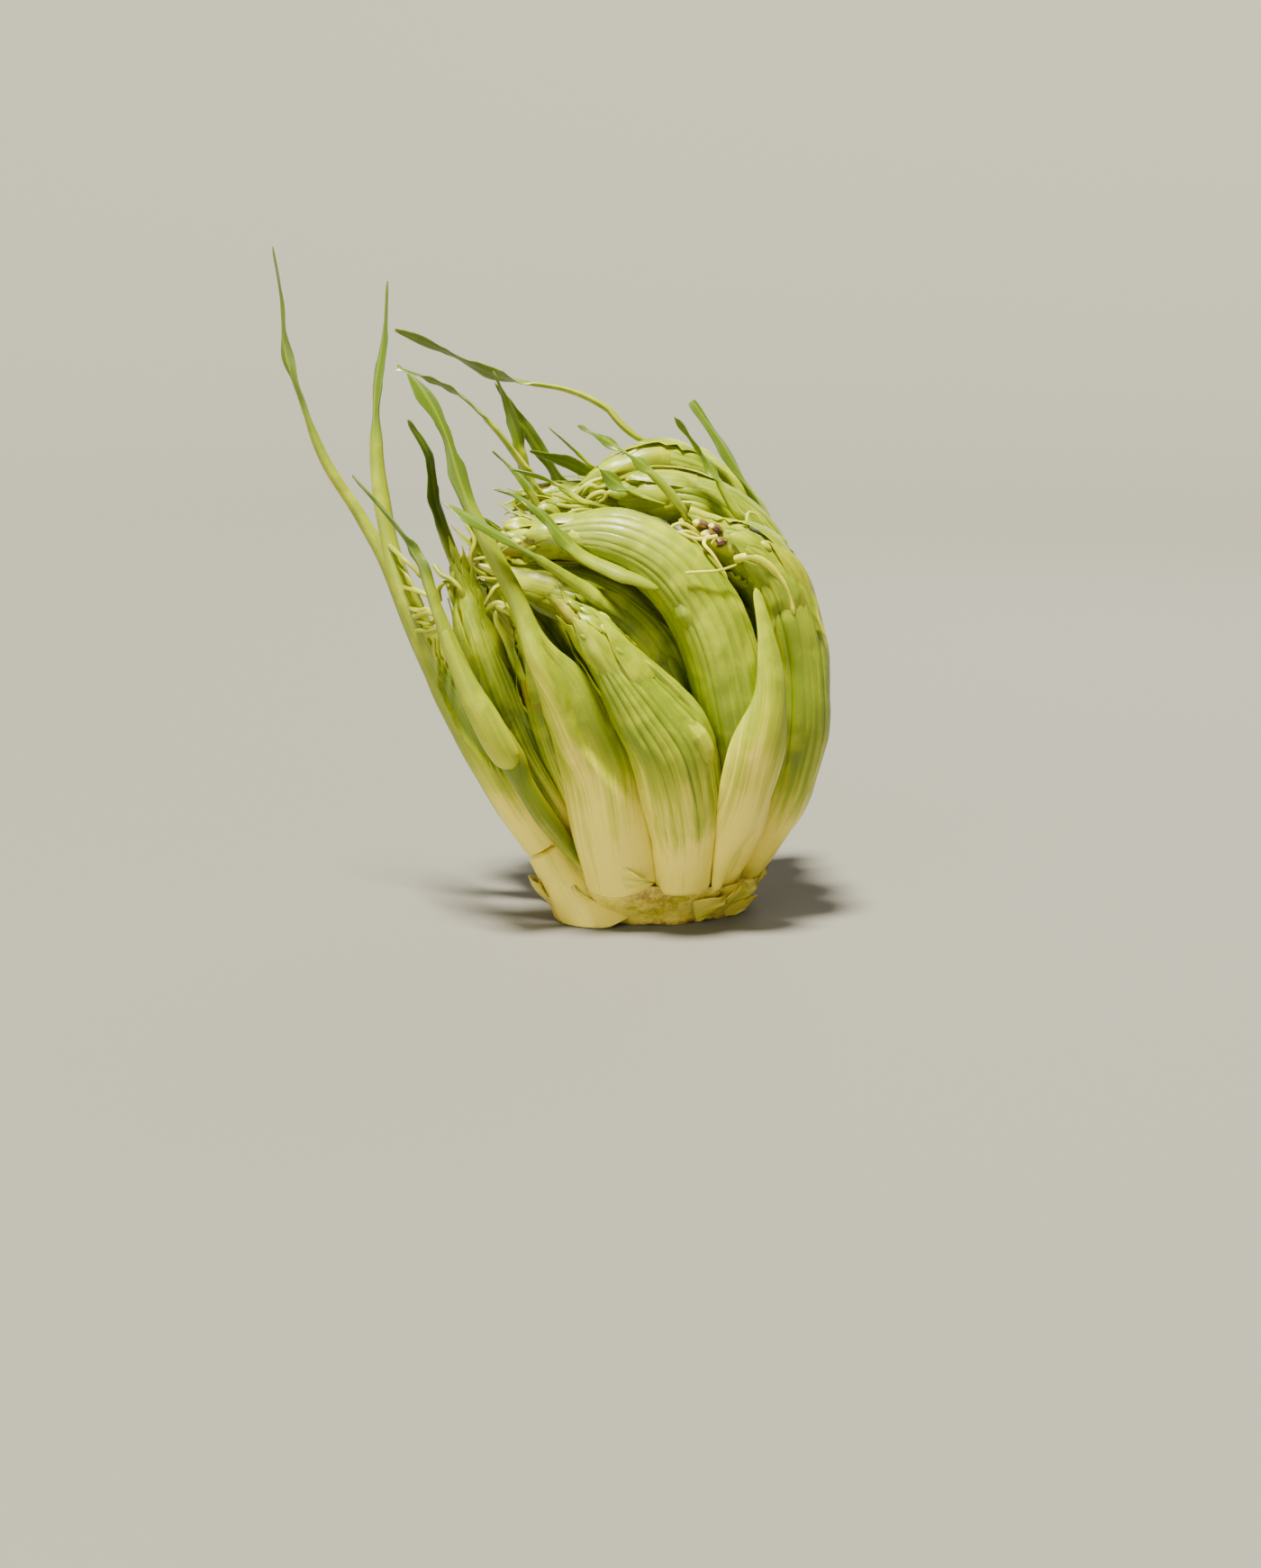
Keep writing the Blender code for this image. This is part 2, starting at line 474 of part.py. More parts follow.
def tip_scales(stalk, seed, clear_of):
    """Small scale leaves that hug the end of a shoot, turned by the golden angle from each to the next."""
    draw = random.Random(seed)
    turn = draw.uniform(0, 2 * math.pi)
    made = []
    for k in range(SCALES_A_SHOOT):
        share = k / (SCALES_A_SHOOT - 1)
        root = 0.72 + 0.24 * share**0.8
        long = draw.uniform(11, 15) * (1.1 - 0.35 * share)
        half = draw.uniform(2.8, 3.6) * (1.1 - 0.45 * share)
        angle = turn + k * GOLDEN_ANGLE
        t = root + np.array([0.0, 0.3, 0.65, 1.0]) * long / stalk.length
        centre = stalk.surface(t, np.full(4, angle), lift=np.array([-1.3, 0.5, 1.5, 2.0]))
        rows = np.column_stack([centre, half * np.array([0.8, 1, 0.75, 0.15]), np.full(4, SCALE_THICKNESS / 2)])
        axis = stalk.surface(t, np.full(4, angle), share=0.0)
        scale = Stalk(rows, facing=tuple(unit((centre - axis).mean(0))))
        gap = min((other.clearance(scale.line)[0].min() for other in clear_of if other.near(scale)), default=9)
        if gap > half * 0.5:
            made.append(scale)
    return made


def fuse(body, extras):
    """One solid from a body and what grows from it, by one Boolean union on a collection."""
    group = bpy.data.collections.new("joined to " + body.name)
    bpy.context.scene.collection.children.link(group)
    for extra in extras:
        bpy.context.scene.collection.objects.unlink(extra)
        group.objects.link(extra)
    union = body.modifiers.new("union", "BOOLEAN")
    union.operand_type = "COLLECTION"
    union.collection = group
    union.operation = "UNION"
    union.solver = "EXACT"
    bpy.context.view_layer.update()
    evaluated = body.evaluated_get(bpy.context.evaluated_depsgraph_get())
    joined = bpy.data.meshes.new_from_object(evaluated)
    body.modifiers.clear()
    body.data = joined
    for extra in extras:
        bpy.data.objects.remove(extra)
    bpy.data.collections.remove(group)
    keep_largest(body)
    return body


def keep_largest(made):
    """Leaves an object its largest body, which has to be closed; edges join faces, corners don't."""
    bm = bmesh.new()
    bm.from_mesh(made.data)
    bmesh.ops.remove_doubles(bm, verts=bm.verts, dist=WELD)
    left, islands = set(bm.faces), []
    while left:
        island, border = set(), [left.pop()]
        while border:
            face = border.pop()
            island.add(face)
            for other in {f for e in face.edges for f in e.link_faces} & left:
                left.discard(other)
                border.append(other)
        islands.append(island)
    largest = max(islands, key=len)
    bmesh.ops.delete(bm, geom=[f for f in bm.faces if f not in largest], context="FACES")
    if any(len(e.link_faces) != 2 for e in bm.edges):
        raise ValueError(made.name + " isn't closed")
    bm.to_mesh(made.data)
    bm.free()


def paint(made, kind):
    """One material for each kind of piece, matt and slightly waxy."""
    material = bpy.data.materials.get(kind)
    if material is None:
        material = bpy.data.materials.new(kind)
        material.use_nodes = True
        shader = material.node_tree.nodes["Principled BSDF"]
        shader.inputs["Base Color"].default_value = COLOURS[kind]
        shader.inputs["Roughness"].default_value = 0.42
        shader.inputs["Metallic"].default_value = 0.0
    made.data.materials.clear()
    made.data.materials.append(material)
    return made


def crown_rings(feet):
    """The cut stump: a round flat cut that widens upwards into the flutes of the feet it carries."""
    angle = ring_angles(CROWN_SIDES)
    reach = np.zeros(CROWN_SIDES)
    for foot in feet:
        outline = foot.surface(np.zeros(36), ring_angles(36))
        radius = np.hypot(outline[:, 0], outline[:, 1])
        bearing = np.arctan2(outline[:, 1], outline[:, 0])
        turn = (angle[:, None] - bearing[None, :] + math.pi) % (2 * math.pi) - math.pi
        reach = np.maximum(reach, (radius[None, :] - 40 * turn**2).max(1))
    top = np.maximum(reach + 0.7, CUT_RADIUS)
    rings = []
    for z, share, inset in CROWN_FLANK:
        radius = CUT_RADIUS + (top - CUT_RADIUS) * share - inset
        rings.append(np.stack([radius * np.cos(angle), radius * np.sin(angle), np.full(CROWN_SIDES, z)], axis=1))
    return rings


def torn_end(bearing, top, half, lean):
    """A thin tongue that stands on the flank of the crown, wide at its root and torn off above."""
    a = math.radians(bearing)
    heights = (1.6, 4.5, 0.78 * top, top)
    reaches = (27.4, 29.8, 32.2 + 0.4 * lean, 33 + lean)
    halves = (half, half, 0.85 * half, 0.3 * half)
    thicknesses = (1.5, 1.5, 1.2, 0.7)
    rows = [(r * math.cos(a), r * math.sin(a), z, w, d)
            for r, z, w, d in zip(reaches, heights, halves, thicknesses)]
    return Stalk(rows, facing=(math.cos(a), math.sin(a), 0), hug=True)


def crown(feet, stub_rings):
    """The stump with the stubs of the outer leaves round it."""
    stump = loft("crown", crown_rings(feet))
    return paint(fuse(stump, [loft("stub", rings) for rings in stub_rings]), "crown")


def leaf_skin(name, stalk, neighbours):
    """The skin of a leaf that stands on the crown; the pale one is a bare sheath without teeth."""
    shares, widths = leaf_stations(LEAF_STALK_RINGS, LEAF_BLADE_START)
    if name == "leaf_pale_sheath":
        widths[:] = 1.0
    rings = rings_of(stalk, LEAF_SIDES, shares, neighbours, widths)
    return Skin(name, rings if name == CRACKED_LEAF else seat(rings), stalk.at(shares)[0])


def shoot_skin(name, stalk, neighbours):
    """The skin of a bare stem."""
    shares = np.linspace(0, 1, SHOOT_RINGS)
    return Skin(name, seat(rings_of(stalk, SHOOT_SIDES, shares, neighbours)), stalk.at(shares)[0])


def shoot(name, skin, blades, scales):
    """A stem with the thin leaves and the scale leaves that grow from it."""
    body = loft(name, skin.rings)
    shares, widths = leaf_stations(STEM_LEAF_STALK_RINGS, STEM_LEAF_BLADE_START)
    extras = [loft("blade", rings_of(b, STEM_LEAF_SIDES, shares, widths=widths)) for b in blades]
    extras += [loft("scale", rings_of(s, SCALE_SIDES, np.linspace(0, 1, SCALE_RINGS))) for s in scales]
    return paint(fuse(body, extras), "shoot")


def build():
    for old in list(bpy.data.objects):
        bpy.data.objects.remove(old)
    stalks = {name: Stalk(rows, ribs=RIBS) for name, rows in SHOOTS.items()}
    for name, rows in LEAVES.items():
        stalks[name] = Stalk(rows, facing=FACING.get(name), hug=True)
    stub = Stalk(STUB_UNDER_CRACK, facing=FACING[CRACKED_LEAF])
    stubs = [torn_end(*row) for row in TORN_ENDS] + [stub]

    placed = list(stalks.values()) + stubs
    blades = {name: [] for name in SHOOTS}
    for parent, rows in STEM_LEAVES.values():
        blade = Stalk(rows)
        bend_clear(blade, placed, stalks[parent])
        blades[parent].append(blade)
        placed.append(blade)

    skins = {}
    for name, stalk in stalks.items():
        neighbours = [other for n, other in stalks.items() if n != name] + stubs
        if name == CRACKED_LEAF:
            neighbours.remove(stub)
        neighbours = [other for other in neighbours if stalk.near(other)]
        make_skin = leaf_skin if name in LEAVES else shoot_skin
        skins[name] = make_skin(name, stalk, neighbours)
    stub_shares = np.linspace(0, 1, STUB_RINGS)
    stub_rings = [rings_of(s, STUB_SIDES, stub_shares) for s in stubs]
    fixed = [Skin("stub", rings, s.at(stub_shares)[0], fixed=True) for rings, s in zip(stub_rings, stubs)]
    press_apart(list(skins.values()) + fixed)

    crown([stalk for name, stalk in stalks.items() if name != CRACKED_LEAF], stub_rings)
    for name in LEAVES:
        paint(loft(name, skins[name].rings), "leaf")
    for seed, name in enumerate(SHOOTS, FIRST_SEED):
        own = blades[name] + [stalks[name]]
        scales = tip_scales(stalks[name], seed, [o for o in placed if not any(o is mine for mine in own)])
        placed.extend(scales)
        shoot(name, skins[name], blades[name], scales)


build()
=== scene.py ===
import math
import random

import bmesh
import bpy
import numpy as np
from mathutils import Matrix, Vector


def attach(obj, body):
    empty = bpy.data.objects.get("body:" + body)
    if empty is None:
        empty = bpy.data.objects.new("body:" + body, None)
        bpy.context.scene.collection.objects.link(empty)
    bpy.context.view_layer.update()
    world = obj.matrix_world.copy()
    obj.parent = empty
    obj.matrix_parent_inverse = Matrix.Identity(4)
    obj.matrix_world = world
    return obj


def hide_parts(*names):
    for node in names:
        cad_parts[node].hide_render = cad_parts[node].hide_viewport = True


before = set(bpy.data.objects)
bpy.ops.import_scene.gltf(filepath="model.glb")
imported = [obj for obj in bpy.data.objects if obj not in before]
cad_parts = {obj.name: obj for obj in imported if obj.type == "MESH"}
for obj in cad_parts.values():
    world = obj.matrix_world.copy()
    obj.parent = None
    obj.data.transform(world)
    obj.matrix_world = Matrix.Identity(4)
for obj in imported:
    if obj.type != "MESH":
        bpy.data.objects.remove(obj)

bl_info = {
    "name": "Puntarelle head",
    "version": (1, 0, 0),
    "blender": (4, 5, 0),
    "location": "View3D > Sidebar > Puntarelle",
    "description": "Ribbed chicory shoots bending over a cut crown, with thin toothed leaves",
    "category": "Object",
}

# Lengths are in millimetres until a mesh is made. +Z is up, -Y is the front, and the head leans to -X
MM = 0.001
# Height at which the stalks start, and the height in the crown down to which their feet are let
BASE = 11.0
FOOT = 9.6
# Lowest height of scraps and leaves, just clear of what the crown stands on
LOWEST = 0.25
# Radius of the cut, and of the crown under the feet, with the heights between which its flank widens
CUT_RADIUS = 27.5
FLANK_RADIUS, FLANK_LOW, FLANK_TOP = 28.5, 1.0, 9.8
# The middle of the head, which the broad sides of its stalks face away from
HEART = (-8.0, 0.0, 55.0)
SHEATH_CURL_RADIUS = 20.0
# Turn from one bract to the next
GOLDEN_ANGLE = math.radians(137.5)
# Points along a stalk's line, and along and round the skin where its neighbours press on it
STATIONS = 60
PRESS_STATIONS, PRESS_SIDES = 41, 32
# Heights between which the skin turns from cream to green
SHOOT_GREEN = (19, 60)
# Sides and rings of the tubes that the parts are shaped from
SHOOT_RINGS = 100
CROWN_GRID, SCRAP_GRID, TWIG_GRID = (144, 72), (28, 22), (8, 26)
BRACT_GRID, LEAF_FOOT_GRID, BUD_GRID, LARGE_BUD_GRID = (12, 14), (32, 24), (20, 16), (48, 36)
# Edges that turn less than this are shaded smooth
SMOOTH_UP_TO = math.radians(50)
# First seeds of the random draws of the shoots, the leaves and the crown
SHOOT_SEED, LEAF_SEED, CROWN_SEED = 100, 300, 500

# Each row of a route is x, y, z, half width, half depth
SHOOTS = {
    "shoot_front_spear": [
        (8.6, -20, BASE, 7.6, 6.7), (9, -30, 33, 10.7, 8.6), (5.5, -37, 52, 11.8, 9), (-0.5, -39, 62, 10.4, 8.2),
        (-5.5, -39.5, 69, 8.4, 7.2), (-10.7, -39.3, 76, 6.3, 5.8), (-16, -38.6, 83, 4.6, 4.4),
        (-23, -37.5, 90, 0.9, 0.9)],
    "shoot_great_arch": [
        (17, -12, BASE, 7, 7), (23, -24, 36, 9, 9), (21, -29, 61, 9.5, 9.5), (16, -29, 82, 10, 9.5),
        (5, -27, 98, 10, 9), (-10, -25, 105, 8.5, 8), (-26, -23, 105, 5.5, 5), (-38, -22, 103, 1.5, 1.5)],
    "shoot_inner_arch": [
        (4, -7, BASE, 6.5, 6.5), (10, -15, 35, 8.5, 8.5), (7, -19, 57, 9.5, 9), (-2, -22, 77, 9.5, 8.5),
        (-15, -24, 88, 8.5, 7.5), (-28, -24, 92, 6, 5.5), (-39, -23, 95, 1.5, 1.5)],
    "shoot_right": [
        (23, -2, BASE, 7, 7), (34, -12, 34, 9, 9), (38.5, -16, 57, 9.5, 9.5), (37, -16, 78, 9.5, 9.5),
        (32, -16, 93, 9, 9), (23, -18, 102, 7.5, 7), (12, -21, 107, 2.5, 2.5)],
    "shoot_top_arch": [
        (17, 9, BASE, 7, 7), (31, 6, 34, 9, 9), (36, 4, 62, 9.5, 9.5), (33.5, 2, 87, 9, 9),
        (24, 0, 105, 9, 8.5), (12, -1, 113, 8, 7), (-3, -3, 114, 6, 6), (-16, -6, 112, 2, 2)],
    "shoot_crest": [
        (9, 19, BASE, 7, 7), (26, 23, 36, 9, 9), (32, 23, 69, 9.5, 9.5), (27.5, 20, 98, 9, 9),
        (17, 16, 115, 8, 7.5), (3, 13, 122, 6.5, 6), (-9, 9, 119, 4.5, 4.5), (-19, 7, 114, 1.5, 1.5)],
    "shoot_middle": [
        (5, 1, BASE, 6.5, 6.5), (4, -1, 40, 9, 9), (2, -2, 72, 9, 9), (-6, -6, 93, 8, 8),
        (-20, -9, 102, 6, 5.5), (-35, -11, 107, 2, 2)],
    "shoot_left_spear": [
        (-14, -10, BASE, 6, 6), (-23, -20, 31, 6.5, 6.5), (-33, -25, 49, 6.5, 6.5),
        (-41, -27, 68, 6.5, 6), (-46, -27, 82, 5, 4.5), (-49, -25, 93, 2.2, 2.2), (-50, -25, 99, 0.8, 0.8)],
    "shoot_bud": [
        (-7, -15, BASE, 5, 5), (-20, -25, 37, 4.5, 4.5), (-28, -32, 59, 4.2, 4), (-31, -34, 75, 3.8, 3.6),
        (-33, -34, 83, 1.5, 1.5)],
    "shoot_left_inner": [
        (-11, 1, BASE, 6, 6), (-20, 2, 36, 8.5, 8.5), (-27, 3, 60, 9.5, 9.5), (-34, 3, 80, 8.5, 8),
        (-41, 0, 93, 6, 6), (-47, -4, 102, 1.5, 1.5)],
    "shoot_left_back": [
        (-21, 4, BASE, 6.5, 6.5), (-34, 14, 34, 8.5, 8), (-41, 18, 54, 9, 8.5), (-46, 18, 70, 8, 7.5),
        (-49, 15, 82, 5.5, 5), (-51, 12, 91, 1.5, 1.5)],
    "shoot_back_spear": [
        (-14, 14, BASE, 7, 7), (-18, 32, 36, 10, 9), (-20, 40, 58, 11, 9.5), (-26, 40, 78, 9.5, 8.5),
        (-34, 35, 91, 6, 6), (-41, 31, 99, 1.5, 1.5)],
    "shoot_back_arch": [
        (-1, 20, BASE, 7, 7), (6, 36, 36, 9.5, 9), (10, 42, 60, 10, 9.5), (6, 41, 84, 10, 9),
        (-6, 34, 103, 9, 8), (-22, 26, 110, 6.5, 6), (-37, 20, 111, 1.5, 1.5)],
    "shoot_back_inner": [
        (5, 10, BASE, 6, 6), (11, 18, 40, 8, 8), (13, 20, 65, 9, 9), (9, 20, 88, 8.5, 8.5),
        (-4, 17, 103, 7, 6.5), (-20, 12, 109, 4, 4), (-31, 9, 111, 1.2, 1.2)],
    "shoot_heart": [
        (-4, 12, BASE, 5.5, 5.5), (-6, 20, 38, 8, 8), (-9, 22, 62, 9, 9), (-14, 21, 85, 8, 8),
        (-24, 17, 98, 5.5, 5.5), (-34, 14, 105, 1.5, 1.5)],
}

LEAVES = {
    "leaf_front_stalk": [
        (-8.2, -25.4, BASE, 9.8, 3.9), (-11, -32, 25, 10.8, 3.8), (-14.5, -37, 46, 10.2, 3.6),
        (-19, -40.5, 58, 8.2, 3.4), (-23.2, -42, 68, 7, 3.2), (-28.2, -42.2, 76.5, 4.2, 2.9), (-31.3, -42, 83, 3, 2.6),
        (-35.8, -41, 94, 2.3, 2), (-42, -40, 106, 2, 1.8), (-48, -38, 119, 1.6, 1.4),
        (-53, -36, 134, 1.6, 0.9), (-58, -34, 143, 2, 0.7), (-62, -33, 148, 0.6, 0.5)],
    "leaf_pale_sheath": [
        (17.5, -21.5, BASE, 1.4, 1.3), (20, -28, 22, 3.6, 2), (24, -33, 33, 7.4, 2.4), (28, -37, 50, 8.5, 2.4),
        (31, -36, 66, 4.8, 2.2), (30, -34, 80, 2.9, 1.8), (27, -31, 93, 1, 0.8)],
    "leaf_right": [
        (28, 9, BASE, 6, 4), (40, 4, 35, 5, 3.8), (44.5, 2, 55, 3.6, 3.2), (43.5, 1, 77, 3, 2.8),
        (37, 2, 97, 2.2, 2), (28.5, 4, 112, 1.7, 1.4), (18.5, 6, 128, 1.5, 0.8), (11, 8, 139, 0.6, 0.5)],
    "leaf_left_stalk": [
        (-29.6, -17.2, 20.8, 5.5, 3.9), (-39.5, -19.5, 37, 6.5, 3.6), (-50, -21, 57, 6.2, 3.2),
        (-59.5, -19, 76, 4.4, 3), (-66.5, -16, 92, 3.3, 2.6), (-70.5, -12, 107, 2.5, 2.2),
        (-73, -8, 125, 2.4, 1.6), (-73, -4, 142, 2, 1.1), (-71, -1, 156, 1.8, 0.7), (-70, 1, 171, 0.6, 0.5)],
    "leaf_left_outer": [
        (-27, 6, BASE, 6, 3.5), (-47, 2, 42, 6, 3), (-62, 0, 72, 4, 2.6), (-72, 2, 96, 2.6, 2),
        (-79, 4, 108, 2.2, 1.6), (-89, 6, 124, 1.7, 1.2), (-95, 8, 140, 1.4, 0.9),
        (-99, 10, 154, 1.3, 0.7), (-100, 12, 167, 1.3, 0.6), (-102, 13, 180, 0.6, 0.5)],
    "leaf_left_fold": [
        (-14, -19.5, BASE, 3.5, 2.2), (-21, -25, 21, 4, 2.3), (-29, -31, 33, 4.2, 2.5),
        (-37.5, -35.5, 49, 4.4, 2.6), (-42.5, -37, 58, 3.8, 2.6), (-49, -37, 71, 3, 2.4),
        (-55, -36, 87, 2.2, 1.8), (-60, -34, 101, 1.7, 1.4), (-68, -32, 112, 1.5, 0.9),
        (-77, -30, 122, 0.6, 0.5)],
    "leaf_back_right": [
        (15, 25.5, BASE, 6, 2.5), (30, 38, 36, 7, 2.5), (37, 42, 56, 5, 2.4), (38, 41, 76, 3, 2),
        (33, 38, 94, 2, 1.5), (26, 34, 108, 1.7, 1), (17, 32, 119, 1.5, 0.6), (9, 31, 125, 0.6, 0.5)],
    "leaf_back": [
        (-6, 27.5, BASE, 7, 2.4), (-6, 44, 34, 8, 2.6), (-6, 50, 52, 5.5, 2.4), (-8, 51, 72, 3, 2.2),
        (-16, 48, 96, 2.2, 1.6), (-28, 43, 118, 1.8, 1.1), (-38, 39, 134, 1.8, 0.6), (-44, 36, 143, 0.6, 0.5)],
    "leaf_back_left": [
        (-21, 18, BASE, 6, 2.4), (-34, 33, 36, 7, 2.6), (-41, 37, 55, 4.5, 2.4), (-48, 34, 76, 2.8, 2),
        (-56, 25, 96, 2, 1.6), (-60, 17, 112, 1.7, 1), (-61, 12, 124, 1.4, 0.7), (-66, 9, 134, 0.6, 0.5)],
}

# Outward direction of the broad side, where it isn't simply away from the heart of the head
FACING = {
    "leaf_front_stalk": (-0.2, -1, 0),
    "leaf_left_stalk": (-0.55, -0.85, 0),
    "leaf_left_outer": (-0.8, -0.6, 0),
    "leaf_left_fold": (-0.35, -0.95, 0),
    "leaf_pale_sheath": (0.45, -0.9, 0),
}

# The left stalk is cracked across, and its lower end is a stub on the crown
CRACKED_LEAF = "leaf_left_stalk"
STUB_UNDER_CRACK = [
    (-15.4, -19, -3.6, 12, 6.4), (-17.5, -18.5, 0.8, 10.5, 6), (-21, -17.8, 6.5, 8.6, 5.2), (-25.2, -17, 13, 6.8, 4.4),
    (-29.4, -17.1, 20.4, 5.6, 4)]

# What sets single leaves apart, as leaf_body takes it; a lobe every metre is none at all
LEAF_FORMS = {
    "leaf_front_stalk": {"green": (18, 84), "sides": 96},
    "leaf_pale_sheath": {"green": (25, 80), "leafy": 0.0, "lobe_every": 1000.0, "wavy": 0.1, "turn": 0.0},
    # The lower part of the left fold is painted dark olive, as shade
    "leaf_left_fold": {"painted_shade_below": 49.0, "narrow": 0.7},
    CRACKED_LEAF: {"seat": False, "round_foot": 0.35, "foot_share": 0.4, "narrow": 0.9, "sides": 96},
}
# A leaf that has no blade: it would start past the tip
NO_BLADE = {"blade_start": 2.0, "seat": False, "leafy": 0.0}
FOLDED_FORM = {"rings": 60, "green": (12, 78), "round_foot": 4.0, "foot_share": 0.93, **NO_BLADE}
STUB_FORM = {"rings": 24, "green": (12, 60), "round_foot": 0.6, "round_tip": 0.5, "stained": 0.5, **NO_BLADE}
STEM_LEAF_FORM = {
    "blade_start": 0.5, "sides": 20, "rings": 80, "green": (-10, 60), "dark_from": 0.1, "lobe_every": 7.0, "ribs": 2,
    "seat": False, "wedge": 15.0}

# The folded leaf that lies on the left fold's stalk, with its round lower end
FOLDED_LEAF = [
    (-36.3, -37.4, 46.8, 3.6, 2.6), (-39.6, -38.8, 53, 4.2, 2.9), (-43, -39.4, 60, 4.1, 2.8),
    (-46.3, -39.2, 66, 3.5, 2.5), (-49.2, -38.6, 72, 2.7, 2.1), (-51.8, -37.9, 78, 1.9, 1.7),
    (-54, -37, 84, 1.4, 1.3)]

# Shreds of sheath on the crown: bearing, low end, length, half width, lean, tilt, radius, how pointed, flare
SHREDS = [
    (-109, 16.2, 13, 4.4, -1.6, 99, 33.6, 0.97, 0.5), (-154, 3.0, 9.5, 5.0, 1.0, 4, 32.8, 0.3, 0.25),
    (-126, 3.5, 9, 3.6, 1.0, -25, 28.9, 0.7, 0.1), (-62, 3.0, 10, 4.6, 1.6, 62, 28.8, 0.5, 0.0),
    (-44, 6.0, 11, 4.4, 2.4, 68, 29.2, 0.4, 0.15), (-36, 1.2, 8, 3.4, 3.4, 60, 28.4, 0.5, 0.0),
    (150, 3, 9, 3.5, 2.0, 30, 28.6, 0.8, 0.0), (60, 2, 9, 3.2, 2.4, -45, 28.6, 0.8, 0.0),
    (100, 4, 8, 3.5, 1.6, 35, 29.0, 0.8, 0.0)]

# Small leaves that grow from a shoot: the shoot, then rows as above
STEM_LEAVES = [
    ("shoot_inner_arch", [
        (-4, -28.5, 82, 2.4, 1.3), (-10, -32, 87.5, 2.5, 1.4), (-15.5, -34.5, 92, 2.2, 1.3),
        (-21, -37, 96, 1.8, 1.2), (-27, -40, 100.5, 1.5, 1.1), (-34, -43.5, 105, 1.4, 1),
        (-41.5, -45.5, 109.5, 1.4, 0.8), (-47, -45, 113, 1.9, 0.7), (-53, -44, 116.5, 0.6, 0.5)]),
    ("shoot_great_arch", [
        (6, -33.5, 93.5, 2.6, 1.2), (-2, -34, 96, 2.4, 1.3), (-11.5, -34, 98.5, 2.2, 1.2),
        (-19, -33, 102, 1.9, 1.1), (-24, -32.5, 107, 1.6, 1), (-29, -32, 112.5, 1.3, 0.8),
        (-35, -31, 117, 1.1, 0.7), (-41, -30, 118.5, 0.6, 0.5)]),
    ("shoot_great_arch", [
        (-10, -22, 109, 1.6, 0.9), (-19, -21, 115, 1.4, 0.8), (-27, -21, 120, 1.2, 0.6),
        (-37, -20, 123, 0.6, 0.5)]),
    ("shoot_right", [
        (15, -20, 105, 1.8, 1.4), (9, -24.5, 111.5, 1.7, 1.3), (4, -26, 118, 1.6, 1.1),
        (-2, -27, 124, 1.5, 0.9), (-9, -26.5, 129, 1.4, 0.7), (-19, -25, 134.5, 0.7, 0.5)]),
    ("shoot_right", [
        (27.5, -14, 98, 1.6, 1.6), (24.5, -13, 106.5, 1.6, 1.4), (21.5, -13, 112.5, 1.5, 1.2),
        (17.5, -12, 119.5, 1.3, 1), (11.5, -11, 128.5, 1.1, 0.7), (6, -10, 136, 0.6, 0.5)]),
    ("shoot_top_arch", [
        (5, -8, 112.5, 1.4, 0.9), (-3, -10.5, 115, 1.3, 0.9), (-9, -11.5, 118, 1.1, 0.8),
        (-14.5, -12, 123, 0.6, 0.5)]),
    ("shoot_crest", [
        (4, 13, 124, 2, 1.2), (-3, 14, 130, 1.8, 1.1), (-12, 16, 137, 1.8, 1), (-23, 17, 142, 1.9, 0.8),
        (-38, 18, 144, 2, 0.7), (-48, 18, 148, 2, 0.6), (-58, 18, 153, 1.6, 0.6), (-70, 18, 158, 0.6, 0.5)]),
    ("shoot_crest", [
        (-12, 9, 117, 1.5, 1), (-19, 10, 124, 1.5, 0.8), (-28, 10, 132, 0.6, 0.5)]),
    ("shoot_back_inner", [
        (-24, 11, 109, 1.6, 1), (-33, 10, 119, 1.6, 0.9), (-42, 10, 131, 1.7, 0.8), (-54, 11, 142, 1.7, 0.6),
        (-69, 10, 148, 0.6, 0.5)]),
    ("shoot_heart", [
        (-29, 15, 101, 1.6, 1), (-33, 15, 112, 1.6, 0.9), (-36, 14, 126, 1.7, 0.7), (-40, 13, 140, 1, 0.6),
        (-43, 12, 147, 0.6, 0.5)]),
    ("shoot_middle", [
        (-22, -9.5, 103, 1.4, 1), (-28, -10.5, 109, 1.3, 0.8), (-34, -11.5, 119, 1.1, 0.7),
        (-42, -12, 127, 0.6, 0.5)]),
    ("shoot_back_arch", [
        (2, 40, 100, 3, 1.2), (-8, 42, 110, 2.2, 1.1), (-20, 38, 119, 1.7, 0.8), (-34, 32, 124, 0.6, 0.5)]),
    ("shoot_back_spear", [
        (-26, 46, 78, 3, 1.2), (-34, 46, 90, 2.2, 1.1), (-43, 41, 100, 1.7, 0.8), (-50, 37, 105, 0.6, 0.5)]),
]

# Broad bracts that clasp a shoot: heights of the low and high end, half width, the way it faces, lifts and tones
CLASPING = {
    "shoot_inner_arch": [(66, 90, 10, (0, -1, 0.2), [0.3, 0.4, 0.4, 1.2], {"greenness": 1.0})],
    "shoot_right": [(80, 102, 9, (0.2, -1, 0.1), [0.6, 0.5, 0.4, 1.4], {"greenness": 0.9, "papery": 0.1})],
    "shoot_left_spear": [(52, 86, 8, (-0.2, -1, 0), [0.3, 0.4, 0.5, 1.6], {"greenness": 0.95})],
    "shoot_middle": [(80, 103, 9, (-0.2, -1, 0.4), [0.3, 0.5, 0.5, 1.5], {"greenness": 0.9})],
}

